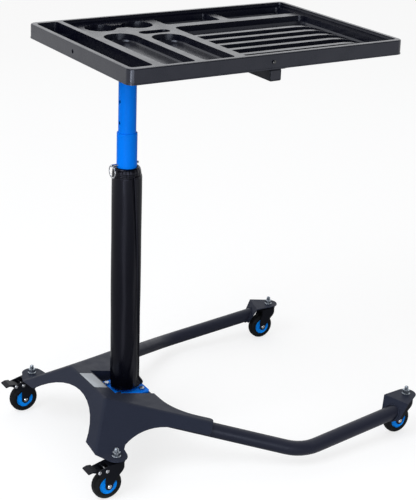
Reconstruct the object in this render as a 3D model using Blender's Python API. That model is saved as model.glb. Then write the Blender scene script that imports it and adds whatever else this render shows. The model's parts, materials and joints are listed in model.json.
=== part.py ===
"""Mobile workshop table: a moulded tool tray on a telescopic column over a folded base on four casters.

Lengths are in metres. +Z is up, +X runs along the tray's long side away from the column, +Y goes to the back.
The column's axis is X = Y = 0 while the pieces are drawn; one root empty then centres the whole table.
"""
import math

import bmesh
import bpy
import numpy as np
from mathutils import Matrix, Vector

for old in list(bpy.data.objects):
    bpy.data.objects.remove(old)

GAP = 0.0003                    # clearance left between pieces that touch
RUN = 0.0001                    # radial clearance of a shaft that turns or slides

# Casters
WHEEL_DIAMETER = 0.075
WHEEL_WIDTH = 0.0255
DISC_DIAMETER = 0.045           # coloured wheel centre inside the tyre
AXLE_DIAMETER = 0.008
AXLE_HEAD = 0.011
TRAIL = 0.027                   # from the swivel axis back to the axle
FORK_SHEET = 0.0028
FORK_EDGE = 0.0105              # half width of a fork leg at the axle
HEAD_HEIGHT = 0.0075            # swivel bearing between plate and fork
HEAD_DIAMETER = 0.040
STUD_DIAMETER = 0.010
STUD_RISE = 0.022               # stud end above the plate that the caster bolts to
NUT_ACROSS = 0.017
NUT_HEIGHT = 0.012
FORK_NOSE = 0.0215              # swivel axis to the fork's round front
CHEEK_END = 0.0585              # swivel axis back to the end of a braked fork's cheeks
PLATE_END = 0.028               # and to the end of its top plate
PEDAL_PIVOT = (-0.0530, -0.0121)        # from the swivel axis and the fork's crown
BRAKE_RIVET = (-0.0325, -0.0132)        # from the same
PEDAL_REACH = 0.083             # swivel axis to the pedal's tip
PEDAL_WIDTH = 0.034
PEDAL_PIN = 0.005
PIN_HEAD = 0.0095               # heads of the pedal's pin and rivet
LEFT_STEM = (-0.150, 0.243)
RIGHT_STEM = (0.675, 0.326)
MOUNT_RISE = 0.030              # top of the wheels to the top of the plates above them

# Folded base cover
SHEET = 0.0025
CREST_X = -0.106                # fold along the left side, the highest line of the cover
CREST_HALF = 0.099
CREST_RISE = 0.076              # above the caster plates
ARM_TIP = (0.125, 0.2385)       # where the fold along each arm ends
ARM_DROP = 0.060                # crest down to the arm tip
ARM_FAR = 0.022                 # arm width on the inner side of its fold
ARM_NEAR = 0.034                # and on the outer side
ARM_CORNER = 0.010              # corner radius at the arm's end
FOOT = (-0.1918, 0.212)         # lowest outer corner of the left side
NECK_X = -0.119                 # end of the fold between tab and cover
TAB_RADIUS = 0.027
LEFT_ARCH = (0.0287, 0.189, 0.155)      # apex below the crest along the slope, radius, half width
FRONT_ARCH = (-0.046, 0.155)            # centre X, radius
RIGHT_ARCH = (0.050, 0.110)             # straight edge X, fillet radius
RECESS = (-0.063, 0.069)                # left end X, half width of the level seat for the column
RECESS_RISE = 0.029                     # seat above the caster plates

# Column and mast
FLANGE_HALF = 0.050
FLANGE_CORNER = 0.010
FLANGE_SHEET = 0.005
BOLT_SPREAD = 0.0335            # bolts from the column's axis, both ways
BOLT_DIAMETER = 0.008
BOLT_ACROSS = 0.013
COLUMN_DIAMETER = 0.0500
COLUMN_ABOVE_PIN = 0.079
MAST_DIAMETER = 0.0436
MAST_WALL = 0.0025
MAST_BURIED = 0.310             # mast length inside the column at rest
HOLE_PITCH = 0.052
HOLE_DIAMETER = 0.0095          # of the mast's row of holes
HOLES_CLEAR = (0.020, 0.060)    # mast left without holes at its foot and head
SLEEVE_DIAMETER = 0.0715
SLEEVE_CLEAR = 0.0065           # sleeve end above the flange
SLEEVE_BELOW_PIN = 0.0062
SLEEVE_SHOULDER = 0.021
SLEEVE_LAP = (0.0015, -68)      # step where the wrapped edge ends, and its direction in degrees
SLEEVE_FLARE = (0.005, -25)     # how far the hem stands off, and its direction in degrees
PIN_DIAMETER = 0.007
PIN_HEIGHT = 0.7455
PIN_LEFT = 0.0435               # pin end left of the column's axis
PIN_RIGHT = 0.033
RING_DIAMETER = 0.033           # outside
RING_WIRE = 0.0024

# Outrigger tubes and their caster brackets
TUBE_DIAMETER = 0.038
TUBE_WALL = 0.002
TUBE_START = 0.45               # inner end, as a share of the arm's fold
TUBE_BEND_X = 0.322
TUBE_BEND_RADIUS = 0.130
TUBE_SAG = 0.004                # bend below the straight line of the arm's fold
TUBE_END_RISE = -0.032          # tube axis at the bracket, from the bracket plate's top
TUBE_END_SIDE = 0.344
BRACKET_SKEW = 16.8             # degrees that each bracket is turned towards the middle
BRACKET_FOLD = 0.0470           # swivel axis to the fold
BRACKET_HALF = 0.038
BRACKET_NOSE = 0.0265
WEB_DEPTH = 0.048
WEB_LEAN = 0.024                # how far the web's lower edge leans away from the wheel
WEB_FOOT_HALF = 0.027

# Tray
TRAY_TOP = 1.0477
TRAY_LEFT = -0.136
TRAY_LENGTH = 0.748
TRAY_WIDTH = 0.515
TRAY_HEIGHT = 0.0353
TRAY_CORNER = 0.017
TRAY_FLARE = 0.0015
RIM = 0.012
LEDGE = (0.003, 0.0065)         # width, depth below the rim
DECK_DEPTH = 0.0125
WALL = 0.003
TROUGH_WIDTH = 0.0565
RIDGE = 0.014                   # bar between the trough and the deck
CUP_DIAMETER = 0.080
CUP_CENTRES = (0.024, 0.126)
CUP_FROM_BACK = 0.0695          # tray's back edge to the cups' centres
CUP_NECK = 0.032
POCKET_WIDTH = 0.0835
POCKET_X = (-0.019, 0.086)
POCKET_FROM_FRONT = 0.0525      # tray's front edge to the pockets
POCKET_CORNER = 0.016           # at the front; the back ends are round
POCKET_TO_CUP = 0.029
SLOT_WIDTH = 0.033
SLOT_TO_CUP = 0.030
SLOT_TO_POCKET = 0.013
BIN_FROM_BACK = 0.0975          # tray's back edge to the front of the back bins
BIN_SPLIT = (0.355, 0.380)      # bar between the two back bins
BIN_TO_BAY = 0.030
BAY_LEFT = 0.195
BAY_FROM_RIGHT = 0.025          # tray's right edge to the bay
BAY_CORNER = 0.020
RIB_FROM_BACK = 0.106           # bay's back to the first rib
RIB_PITCH = 0.051
RIB_WIDTH = 0.021
RIB_CLEAR = 0.020               # least channel left in front of the last rib
RIB_RAMP = 0.097                # length of the slope at the ribs' right ends
SKIRT_HOLE = 0.010
SKIRT_HOLE_Y = 0.014

# Support below the tray
ARM_WIDTH = 0.031
ARM_HEIGHT = 0.027
ARM_WALL = 0.002
ARM_LEFT = -0.035
CROSS_X = 0.2445
STRAP_SHEET = 0.002
STRAP_EXTRA = 0.010             # strap that shows on the right of the cross arm
HEAD_PLATE = (0.080, 0.004)     # side, thickness
PLUG_DEPTH = 0.006              # end plugs of the cross arm
SCREW_DIAMETER = 0.0045
SCREW_HEAD = 0.009
SCREW_X = 0.2345

MOUNT_HEIGHT = WHEEL_DIAMETER + MOUNT_RISE
CREST_HEIGHT = MOUNT_HEIGHT + CREST_RISE
SEAT_HEIGHT = MOUNT_HEIGHT + RECESS_RISE
FLANGE_TOP = SEAT_HEIGHT + GAP + FLANGE_SHEET
COLUMN_TOP = PIN_HEIGHT + COLUMN_ABOVE_PIN
SLEEVE_TOP = PIN_HEIGHT - SLEEVE_BELOW_PIN
TRAY_RIGHT = TRAY_LEFT + TRAY_LENGTH
TRAY_BOTTOM = TRAY_TOP - TRAY_HEIGHT
TRAY_HALF = TRAY_WIDTH / 2
THROUGH = COLUMN_DIAMETER       # half length of the drills through the column and the mast
CENTRE_X = (LEFT_STEM[0] - PEDAL_REACH + RIGHT_STEM[0] + BRACKET_NOSE) / 2

ROOT = bpy.data.objects.new("workshop_table", None)
ROOT.location = (-CENTRE_X, 0, 0)
bpy.context.scene.collection.objects.link(ROOT)


def material(name, colour, roughness, metallic=0.0):
    """Principled material with plain values."""
    made = bpy.data.materials.new(name)
    made.use_nodes = True
    shader = made.node_tree.nodes["Principled BSDF"]
    shader.inputs["Base Color"].default_value = (*colour, 1)
    shader.inputs["Roughness"].default_value = roughness
    shader.inputs["Metallic"].default_value = metallic
    return made


GREY_COAT = material("grey_coat", (0.030, 0.033, 0.046), 0.45)
BLUE_COAT = material("blue_coat", (0.0, 0.165, 0.80), 0.35)
BLACK_COAT = material("black_coat", (0.008, 0.008, 0.010), 0.45)
TRAY_PLASTIC = material("tray_plastic", (0.075, 0.080, 0.105), 0.5)
WHEEL_PLASTIC = material("wheel_plastic", (0.003, 0.20, 0.75), 0.4)
RUBBER = material("rubber", (0.012, 0.012, 0.013), 0.6)
SLEEVE_CLOTH = material("sleeve_cloth", (0.010, 0.011, 0.016), 0.6)
ZINC = material("zinc", (0.60, 0.62, 0.65), 0.3, 1.0)


def make(name, shape, coat, place=(0, 0, 0)):
    """Object from points and faces drawn in the column's frame, with its origin at place."""
    points, faces = shape
    origin = Vector(place)
    mesh = bpy.data.meshes.new(name)
    mesh.from_pydata([Vector(point) - origin for point in points], [], faces)
    work = bmesh.new()
    work.from_mesh(mesh)
    bmesh.ops.recalc_face_normals(work, faces=work.faces)
    work.to_mesh(mesh)
    work.free()
    made = bpy.data.objects.new(name, mesh)
    made.location = origin
    made.parent = ROOT
    bpy.context.scene.collection.objects.link(made)
    if coat:
        mesh.materials.append(coat)
    return made


def cutter(name, shape):
    """Object that only shapes another one."""
    made = make(name, shape, None)
    made.hide_render = True
    made.display_type = "WIRE"
    return made


def apply_shape(target, tool, operation="DIFFERENCE"):
    """Boolean of target with tool."""
    modifier = target.modifiers.new(tool.name, "BOOLEAN")
    modifier.operation = operation
    modifier.solver = "EXACT"
    modifier.object = tool


def moved(shape, frame):
    """Shape with its points put through a matrix."""
    points, faces = shape
    return [frame @ Vector(point) for point in points], faces


def joined(shapes):
    """Several separate closed shapes in one mesh."""
    points, faces = [], []
    for shape in shapes:
        start = len(points)
        points += shape[0]
        faces += [tuple(start + index for index in face) for face in shape[1]]
    return points, faces


def mirrored(shape):
    """Shape reflected to the other side in Y."""
    return moved(shape, Matrix.Diagonal((1, -1, 1, 1)))


def between(rings, closed):
    """Points and side faces through rings of equal length."""
    count = len(rings[0])
    points = [point for ring in rings for point in ring]
    faces = []
    for k in range(len(rings) if closed else len(rings) - 1):
        low, high = k * count, (k + 1) % len(rings) * count
        faces += [(low + i, low + (i + 1) % count, high + (i + 1) % count, high + i) for i in range(count)]
    return points, faces


def loft(rings):
    """Solid through rings, with flat ends."""
    points, faces = between(rings, False)
    count = len(rings[0])
    faces += [tuple(range(count)), tuple(range(len(points) - count, len(points)))]
    return points, faces


def band(rings):
    """Solid ring: the last ring joins the first."""
    return between(rings, True)


def circle(radius, count, height=0.0, centre=(0, 0)):
    """Level circle of points."""
    turn = [2 * math.pi * i / count for i in range(count)]
    return [(centre[0] + radius * math.cos(a), centre[1] + radius * math.sin(a), height) for a in turn]


def hexagon(across, count, height):
    """Hexagon with the same number of points as a circle."""
    ring = []
    for i in range(count):
        angle = 2 * math.pi * i / count
        lean = (angle + math.pi / 6) % (math.pi / 3) - math.pi / 6
        radius = across / 2 / math.cos(lean)
        ring.append((radius * math.cos(angle), radius * math.sin(angle), height))
    return ring


def lathe(profile, count):
    """Solid turned from (radius, height) pairs, flat at both ends."""
    return loft([circle(radius, count, height) for radius, height in profile])


def lathe_hollow(profile, count):
    """Ring turned from a closed profile of (radius, height) pairs."""
    return band([circle(radius, count, height) for radius, height in profile])


def arc(centre, radius, start, end, steps):
    """Points on an arc in a plane, angles in degrees."""
    turn = [math.radians(start + (end - start) * i / steps) for i in range(steps + 1)]
    return [(centre[0] + radius * math.cos(a), centre[1] + radius * math.sin(a)) for a in turn]


def rounded(x0, x1, y0, y1, radius, steps=4, front=None):
    """Rounded rectangle, anticlockwise; front is another radius for the two front corners."""
    near = front or radius
    outline = arc((x1 - radius, y1 - radius), radius, 0, 90, steps)
    outline += arc((x0 + radius, y1 - radius), radius, 90, 180, steps)
    outline += arc((x0 + near, y0 + near), near, 180, 270, steps)
    outline += arc((x1 - near, y0 + near), near, 270, 360, steps)
    return outline


def level(outline, height):
    """Plan outline lifted to a height."""
    return [(x, y, height) for x, y in outline]


def prism(outline, low, high):
    """Plan outline pulled up between two heights."""
    return loft([level(outline, low), level(outline, high)])


def box(x0, x1, y0, y1, z0, z1):
    """Plain block."""
    return prism([(x0, y0), (x1, y0), (x1, y1), (x0, y1)], z0, z1)


def side_prism(outline, half):
    """Outline of (x, z) pairs pulled across in Y."""
    return loft([[(x, y, z) for x, z in outline] for y in (-half, half)])


def rod(radius, count, low, high):
    """Upright cylinder, mostly used as a drill."""
    return loft([circle(radius, count, low), circle(radius, count, high)])


def normal_of(polygon):
    """Unit normal of a flat polygon."""
    total = Vector((0, 0, 0))
    for here, there in zip(polygon, polygon[1:] + polygon[:1]):
        total += Vector(here).cross(Vector(there))
    return total.normalized()


def folded_sheet(facets, thickness):
    """Closed solid below flat facets that meet along folds. Each facet is (polygon, side that faces out)."""
    points, lookup, faces = [], {}, []
    normals = {}
    for polygon, outward in facets:
        facing = normal_of(polygon)
        order = polygon if facing.dot(Vector(outward)) > 0 else polygon[::-1]
        face = []
        for point in order:
            key = tuple(round(value, 6) for value in point)
            if key not in lookup:
                lookup[key] = len(points)
                points.append(Vector(point))
            face.append(lookup[key])
            normals.setdefault(lookup[key], []).append(normal_of(order))
        faces.append(tuple(face))
    below = []
    for index, point in enumerate(points):
        planes = np.array([tuple(n) for n in normals[index]])
        shift = np.linalg.lstsq(planes, np.full(len(planes), -thickness), rcond=1e-6)[0]
        below.append(point + Vector(shift))
    count = len(points)
    edges = [edge for face in faces for edge in zip(face, face[1:] + face[:1])]
    rims = [(a, b) for a, b in edges if (b, a) not in set(edges)]
    solid = faces + [tuple(index + count for index in reversed(face)) for face in faces]
    solid += [(b, a, a + count, b + count) for a, b in rims]
    return points + below, solid


def pipe(path, outer, inner, count, end_plane=None):
    """Bent round tube along path points; end_plane is (point, normal) that trims the last end."""
    path = [Vector(point) for point in path]
    side = Vector((0, 0, 1))
    rings = {outer: [], inner: []}
    for k, point in enumerate(path):
        before = (point - path[k - 1]).normalized() if k else None
        after = (path[k + 1] - point).normalized() if k + 1 < len(path) else None
        along = ((before or after) + (after or before)).normalized()
        across = along.cross(side).normalized()
        upward = across.cross(along)
        for radius in rings:
            ring = []
            for i in range(count):
                angle = 2 * math.pi * i / count
                spot = point + across * (radius * math.cos(angle)) + upward * (radius * math.sin(angle))
                if end_plane and after is None:
                    spot = spot + along * ((end_plane[0] - spot).dot(end_plane[1]) / along.dot(end_plane[1]))
                ring.append(spot)
            rings[radius].append(ring)
    return band(rings[outer] + rings[inner][::-1])


def bend(start, corner, end, radius, steps):
    """Path from start to end with a round bend at corner."""
    start, corner, end = Vector(start), Vector(corner), Vector(end)
    to_start, to_end = (start - corner).normalized(), (end - corner).normalized()
    half = to_start.angle(to_end) / 2
    tangent = radius / math.tan(half)
    centre = corner + (to_start + to_end).normalized() * (radius / math.sin(half))
    first, last = corner + to_start * tangent - centre, corner + to_end * tangent - centre
    axis = first.cross(last).normalized()
    sweep = first.angle(last)
    middle = [centre + Matrix.Rotation(sweep * i / steps, 3, axis) @ first for i in range(steps + 1)]
    return [start] + middle + [end]


# Planes of the folded cover. Points with negative Y are the front ones.
CREST_FRONT = Vector((CREST_X, -CREST_HALF, CREST_HEIGHT))
TIP_FRONT = Vector((ARM_TIP[0], -ARM_TIP[1], CREST_HEIGHT - ARM_DROP))
FOOT_FRONT = Vector((FOOT[0], -FOOT[1], MOUNT_HEIGHT))
TOP_SLOPE = ARM_DROP / (ARM_TIP[0] - CREST_X)
RIDGE_WAY = Vector((TIP_FRONT.x - CREST_FRONT.x, TIP_FRONT.y - CREST_FRONT.y, 0)).normalized()
RIDGE_SIDE = Vector((-RIDGE_WAY.y, RIDGE_WAY.x, 0))
FRONT_NORMAL = (TIP_FRONT - CREST_FRONT).cross(FOOT_FRONT - CREST_FRONT).normalized()
FRONT_NORMAL = FRONT_NORMAL if FRONT_NORMAL.z > 0 else -FRONT_NORMAL
TOP_NORMAL = Vector((TOP_SLOPE, 0, 1)).normalized()


def on_top(x, y):
    """Point on the cover's sloping top."""
    return Vector((x, y, CREST_HEIGHT - TOP_SLOPE * (x - CREST_X)))


def on_front(x, y):
    """Point on the front slope."""
    lift = FRONT_NORMAL.dot(CREST_FRONT - Vector((x, y, 0))) / FRONT_NORMAL.z
    return Vector((x, y, lift))


def back(points):
    """Points reflected to the back."""
    return [Vector((p.x, -p.y, p.z)) for p in points]


def cover_facets():
    """Flat facets of the folded cover."""
    apex, radius, half = LEFT_ARCH
    run = Vector((FOOT[0] - CREST_X, 0, MOUNT_HEIGHT - CREST_HEIGHT)).normalized()
    reach = math.degrees(math.asin(half / radius))
    left_arch = []
    for y, t in arc((0, apex + radius), radius, -90 - reach, -90 + reach, 14):
        left_arch.append(Vector((CREST_X, y, CREST_HEIGHT)) + run * t)
    crest = [CREST_FRONT] + back([CREST_FRONT])
    left = [crest[1], crest[0], FOOT_FRONT] + left_arch + back([FOOT_FRONT])

    way = FRONT_NORMAL.cross(Vector((0, 0, 1))).normalized()
    neck = FOOT_FRONT + way * ((NECK_X - FOOT_FRONT.x) / way.x)
    centre_x, radius = FRONT_ARCH
    from_tip = (-ARM_NEAR - radius - RIDGE_SIDE.x * (centre_x - TIP_FRONT.x)) / RIDGE_SIDE.y
    centre = (centre_x, TIP_FRONT.y + from_tip)
    touch = math.degrees(math.atan2(RIDGE_SIDE.y, RIDGE_SIDE.x))
    leave = math.degrees(math.acos((NECK_X + 0.008 - centre_x) / radius))
    front_arch = [on_front(x, y) for x, y in arc(centre, radius, touch, leave, 10)]
    near_end = TIP_FRONT - RIDGE_SIDE * ARM_NEAR - RIDGE_WAY * 0.006
    near_end = on_front(near_end.x, near_end.y)
    near_corner = bend(TIP_FRONT, near_end, front_arch[0], ARM_CORNER, 3)[1:-1]
    front = [CREST_FRONT, TIP_FRONT] + near_corner + front_arch + [neck, FOOT_FRONT]

    nose = arc((LEFT_STEM[0], -LEFT_STEM[1]), TAB_RADIUS, 192, 350, 8)
    tab = [FOOT_FRONT] + [Vector((x, y, MOUNT_HEIGHT)) for x, y in nose] + [neck]

    edge_x, radius = RIGHT_ARCH
    lift = (ARM_FAR + radius - RIDGE_SIDE.x * (edge_x + radius - TIP_FRONT.x)) / RIDGE_SIDE.y
    centre = (edge_x + radius, TIP_FRONT.y + lift)
    turn = math.degrees(math.atan2(-RIDGE_SIDE.y, -RIDGE_SIDE.x)) % 360
    far_end = TIP_FRONT + RIDGE_SIDE * ARM_FAR
    far_end = on_top(far_end.x, far_end.y)
    recess_x, recess_half = RECESS
    right_arch = arc(centre, radius, turn, 180, 8) + [(edge_x, -recess_half), (recess_x, -recess_half)]
    rim = [on_top(x, y) for x, y in right_arch]
    rim = bend(TIP_FRONT, far_end, rim[0], ARM_CORNER, 3)[1:-1] + rim
    top = [CREST_FRONT, TIP_FRONT] + rim + back(rim)[::-1] + back([TIP_FRONT, CREST_FRONT])
    corners = [(edge_x, -recess_half), (recess_x, -recess_half), (recess_x, recess_half), (edge_x, recess_half)]
    floor = [Vector((x, y, SEAT_HEIGHT)) for x, y in corners]
    upper = [on_top(x, y) for x, y in corners]
    walls = []
    for k, outward in enumerate(((0, 1, 0), (1, 0, 0), (0, -1, 0))):
        walls.append(([upper[k], upper[k + 1], floor[k + 1], floor[k]], outward))
    rising = (0, 0, 1)
    facets = [(left, rising), (top, rising), (floor, rising)] + walls
    for polygon in (front, tab):
        facets += [(polygon, rising), (back(polygon), rising)]
    return facets


def stem_positions():
    """Name, X, Y and pedal of each caster."""
    spots = []
    for side, (x, y), pedal in (("left", LEFT_STEM, True), ("right", RIGHT_STEM, False)):
        spots += [("front_" + side, x, -y, pedal), ("back_" + side, x, y, pedal)]
    return spots


def build_base():
    """Folded cover, outrigger tubes and caster brackets."""
    cover = make("base_cover", folded_sheet(cover_facets(), SHEET), GREY_COAT)
    stem = rod(STUD_DIAMETER / 2 + GAP, 16, MOUNT_HEIGHT - 0.02, MOUNT_HEIGHT + 0.02)
    stems = [moved(stem, Matrix.Translation((x, y, 0))) for name, x, y, pedal in stem_positions()]
    stem_drill = cutter("stem_drill", joined(stems))
    apply_shape(cover, stem_drill)
    bolt = rod(BOLT_DIAMETER / 2 + GAP, 12, SEAT_HEIGHT - 0.02, SEAT_HEIGHT + 0.02)
    bolts = [moved(bolt, Matrix.Translation((*spot, 0))) for name, spot in bolt_spots()]
    bolt_drill = cutter("bolt_drill", joined(bolts))
    apply_shape(cover, bolt_drill)

    skew = math.radians(BRACKET_SKEW)
    stem = Vector((RIGHT_STEM[0], -RIGHT_STEM[1], MOUNT_HEIGHT))
    out = Vector((math.cos(skew), math.sin(skew), 0))
    across = Vector((-out.y, out.x, 0))

    def spot(along, side, drop=0.0):
        return stem + out * along + across * side - Vector((0, 0, drop))

    open_angle = math.degrees(math.atan2(BRACKET_HALF, BRACKET_FOLD))
    reach = math.hypot(BRACKET_HALF, BRACKET_FOLD)
    tangent = 180 - open_angle - math.degrees(math.acos(BRACKET_NOSE / reach))
    nose = [spot(a, s) for a, s in arc((0, 0), BRACKET_NOSE, -tangent, tangent, 12)]
    fold = [spot(-BRACKET_FOLD, BRACKET_HALF), spot(-BRACKET_FOLD, -BRACKET_HALF)]
    foot_out = -BRACKET_FOLD - WEB_LEAN
    feet = [spot(foot_out, -WEB_FOOT_HALF, WEB_DEPTH), spot(foot_out, WEB_FOOT_HALF, WEB_DEPTH)]
    web = fold + feet
    bracket = folded_sheet([(nose + fold, (0, 0, 1)), (web, -out)], SHEET)

    reach = SHEET + GAP + TUBE_DIAMETER / 2
    ridge = (TIP_FRONT - CREST_FRONT).normalized()
    planes = np.array([tuple(TOP_NORMAL), tuple(FRONT_NORMAL), tuple(ridge)])
    drop = Vector(np.linalg.solve(planes, np.array([-reach, -reach, 0.0])))
    start = CREST_FRONT.lerp(TIP_FRONT, TUBE_START) + drop
    corner = start + ridge * ((TUBE_BEND_X - start.x) / ridge.x) - Vector((0, 0, TUBE_SAG))
    end = spot(-BRACKET_FOLD, 0)
    end = Vector((end.x, -TUBE_END_SIDE, MOUNT_HEIGHT + TUBE_END_RISE))
    web_normal = normal_of(web)
    web_normal = web_normal if web_normal.dot(out) < 0 else -web_normal
    path = bend(start, corner, end, TUBE_BEND_RADIUS, 6)
    trim = (fold[0] + web_normal * GAP, web_normal)
    tube = pipe(path, TUBE_DIAMETER / 2, TUBE_DIAMETER / 2 - TUBE_WALL, 16, trim)
    for side, flip in (("front", lambda shape: shape), ("back", mirrored)):
        make(side + "_outrigger_tube", flip(tube), GREY_COAT)
        plate = make(side + "_caster_bracket", flip(bracket), GREY_COAT)
        apply_shape(plate, stem_drill)


def bolt_spots():
    """Name and plan position of each flange bolt."""
    spots = []
    for side, y in (("front", -BOLT_SPREAD), ("back", BOLT_SPREAD)):
        spots += [(side + "_left", (-BOLT_SPREAD, y)), (side + "_right", (BOLT_SPREAD, y))]
    return spots


def build_column():
    """Flange with bolts, column tube and padded sleeve."""
    outline = rounded(-FLANGE_HALF, FLANGE_HALF, -FLANGE_HALF, FLANGE_HALF, FLANGE_CORNER)
    flange = make("column_flange", prism(outline, FLANGE_TOP - FLANGE_SHEET, FLANGE_TOP), BLUE_COAT)
    apply_shape(flange, bpy.data.objects["bolt_drill"])
    shaft, seat = BOLT_DIAMETER / 2, FLANGE_TOP + GAP
    rings = [hexagon(BOLT_ACROSS * 0.9, 12, seat + 0.006), hexagon(BOLT_ACROSS, 12, seat + 0.005)]
    rings += [hexagon(BOLT_ACROSS, 12, seat), circle(shaft, 12, seat), circle(shaft, 12, SEAT_HEIGHT - 0.008)]
    for name, (x, y) in bolt_spots():
        make(name + "_flange_bolt", moved(loft(rings), Matrix.Translation((x, y, 0))), ZINC)

    outer, inner = COLUMN_DIAMETER / 2, MAST_DIAMETER / 2 + RUN
    low = FLANGE_TOP + GAP
    profile = [(outer, low), (outer, COLUMN_TOP - 0.001), (outer - 0.001, COLUMN_TOP)]
    profile += [(inner, COLUMN_TOP), (inner, low)]
    column = make("column_tube", lathe_hollow(profile, 32), BLUE_COAT)
    across = Matrix.Translation((0, 0, PIN_HEIGHT)) @ Matrix.Rotation(math.pi / 2, 4, "Y")
    hole = rod(PIN_DIAMETER / 2 + RUN, 16, -THROUGH, THROUGH)
    apply_shape(column, cutter("pin_drill", moved(hole, across)))
    make("column_sleeve", sleeve_shape(), SLEEVE_CLOTH)


def sleeve_shape():
    """Padded sheet wrapped round the column: its edge ends in a step, and the hem stands off on one side."""
    count = 28
    step, edge = SLEEVE_LAP
    flare, side = SLEEVE_FLARE
    inner = COLUMN_DIAMETER / 2 + GAP
    top, low = SLEEVE_TOP - SLEEVE_SHOULDER, FLANGE_TOP + SLEEVE_CLEAR
    # Height, share of the padding's thickness, share of the hem's flare
    stations = [(low, 1.0, 0.45), (low + 0.012, 1.0, 1.0), (low + 0.045, 1.0, 0.0), (top, 1.0, 0.0)]
    stations += [(top + SLEEVE_SHOULDER * math.sin(a), math.cos(a), 0.0) for a in (0.5, 1.0, 1.45)]
    rings = []
    for height, full, stand in stations:
        ring = []
        for i in range(count):
            share = i / (count - 1)
            turn = math.radians(edge + 358 * share)
            off = math.degrees(math.remainder(turn - math.radians(side), 2 * math.pi)) / 32
            padding = SLEEVE_DIAMETER / 2 - inner + step * (1 - share)
            radius = inner + padding * full + flare * stand * math.exp(-off * off)
            ring.append((radius * math.cos(turn), radius * math.sin(turn), height))
        rings.append(ring)
    turns = [math.radians(edge + 358 * i / (count - 1)) for i in range(count)]
    for height in (stations[-1][0], low):
        rings.append([(inner * math.cos(turn), inner * math.sin(turn), height) for turn in turns])
    return band(rings)


def build_mast():
    """Inner tube with its row of holes, locking pin and split ring."""
    outer = MAST_DIAMETER / 2
    foot = COLUMN_TOP - MAST_BURIED
    head = support_top() - STRAP_SHEET - ARM_HEIGHT - HEAD_PLATE[1] - 3 * GAP
    profile = [(outer, foot), (outer, head), (outer - MAST_WALL, head), (outer - MAST_WALL, foot)]
    mast = make("mast_tube", lathe_hollow(profile, 32), BLUE_COAT, (0, 0, COLUMN_TOP))
    across = Matrix.Rotation(math.pi / 2, 4, "Y")
    hole = moved(rod(HOLE_DIAMETER / 2, 12, -THROUGH, THROUGH), across)
    below = math.floor((PIN_HEIGHT - foot - HOLES_CLEAR[0]) / HOLE_PITCH)
    above = math.floor((head - PIN_HEIGHT - HOLES_CLEAR[1]) / HOLE_PITCH)
    drills = []
    for step in range(-below, above + 1):
        drills.append(moved(hole, Matrix.Translation((0, 0, PIN_HEIGHT + HOLE_PITCH * step))))
    apply_shape(mast, cutter("mast_drill", joined(drills)))

    half = PIN_DIAMETER / 2
    along = Matrix.Translation((0, 0, PIN_HEIGHT)) @ across
    profile = [(half - 0.001, -PIN_LEFT), (half, 0.001 - PIN_LEFT)]
    profile += [(half, PIN_RIGHT - 0.002), (half - 0.002, PIN_RIGHT)]
    pin = make("locking_pin", moved(lathe(profile, 16), along), ZINC, (0, 0, PIN_HEIGHT))
    eye_x = 0.004 - PIN_LEFT
    eye = rod(RING_WIRE / 2 + 2 * GAP, 12, -PIN_DIAMETER, PIN_DIAMETER)
    turned = Matrix.Translation((eye_x, 0, PIN_HEIGHT)) @ Matrix.Rotation(math.pi / 2, 4, "X")
    apply_shape(pin, cutter("pin_eye", moved(eye, turned)))
    mean = (RING_DIAMETER - RING_WIRE) / 2
    wire = circle(RING_WIRE / 2, 8)
    rings = []
    for i in range(24):
        turn = 2 * math.pi * i / 24
        out = Vector((0, math.sin(turn), math.cos(turn)))
        middle = Vector((eye_x, 0, PIN_HEIGHT - mean)) + out * mean
        rings.append([middle + out * a + Vector((b, 0, 0)) for a, b, level_z in wire])
    make("pin_ring", band(rings), ZINC, (eye_x, 0, PIN_HEIGHT))


def support_top():
    """Top of the straps that the tray lies on."""
    return TRAY_BOTTOM - GAP


def square_tube(x0, x1, y0, y1, z0, z1, along):
    """Rectangular hollow section that runs along X or Y."""
    def ring(inset, end):
        low, high = (y0, y1) if along == "X" else (x0, x1)
        outline = rounded(low + inset, high - inset, z0 + inset, z1 - inset, 0.003 - inset / 2, 2)
        return [(end, side, z) if along == "X" else (side, end, z) for side, z in outline]

    ends = (x0, x1) if along == "X" else (y0, y1)
    return band([ring(0, ends[0]), ring(0, ends[1]), ring(ARM_WALL, ends[1]), ring(ARM_WALL, ends[0])])


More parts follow.
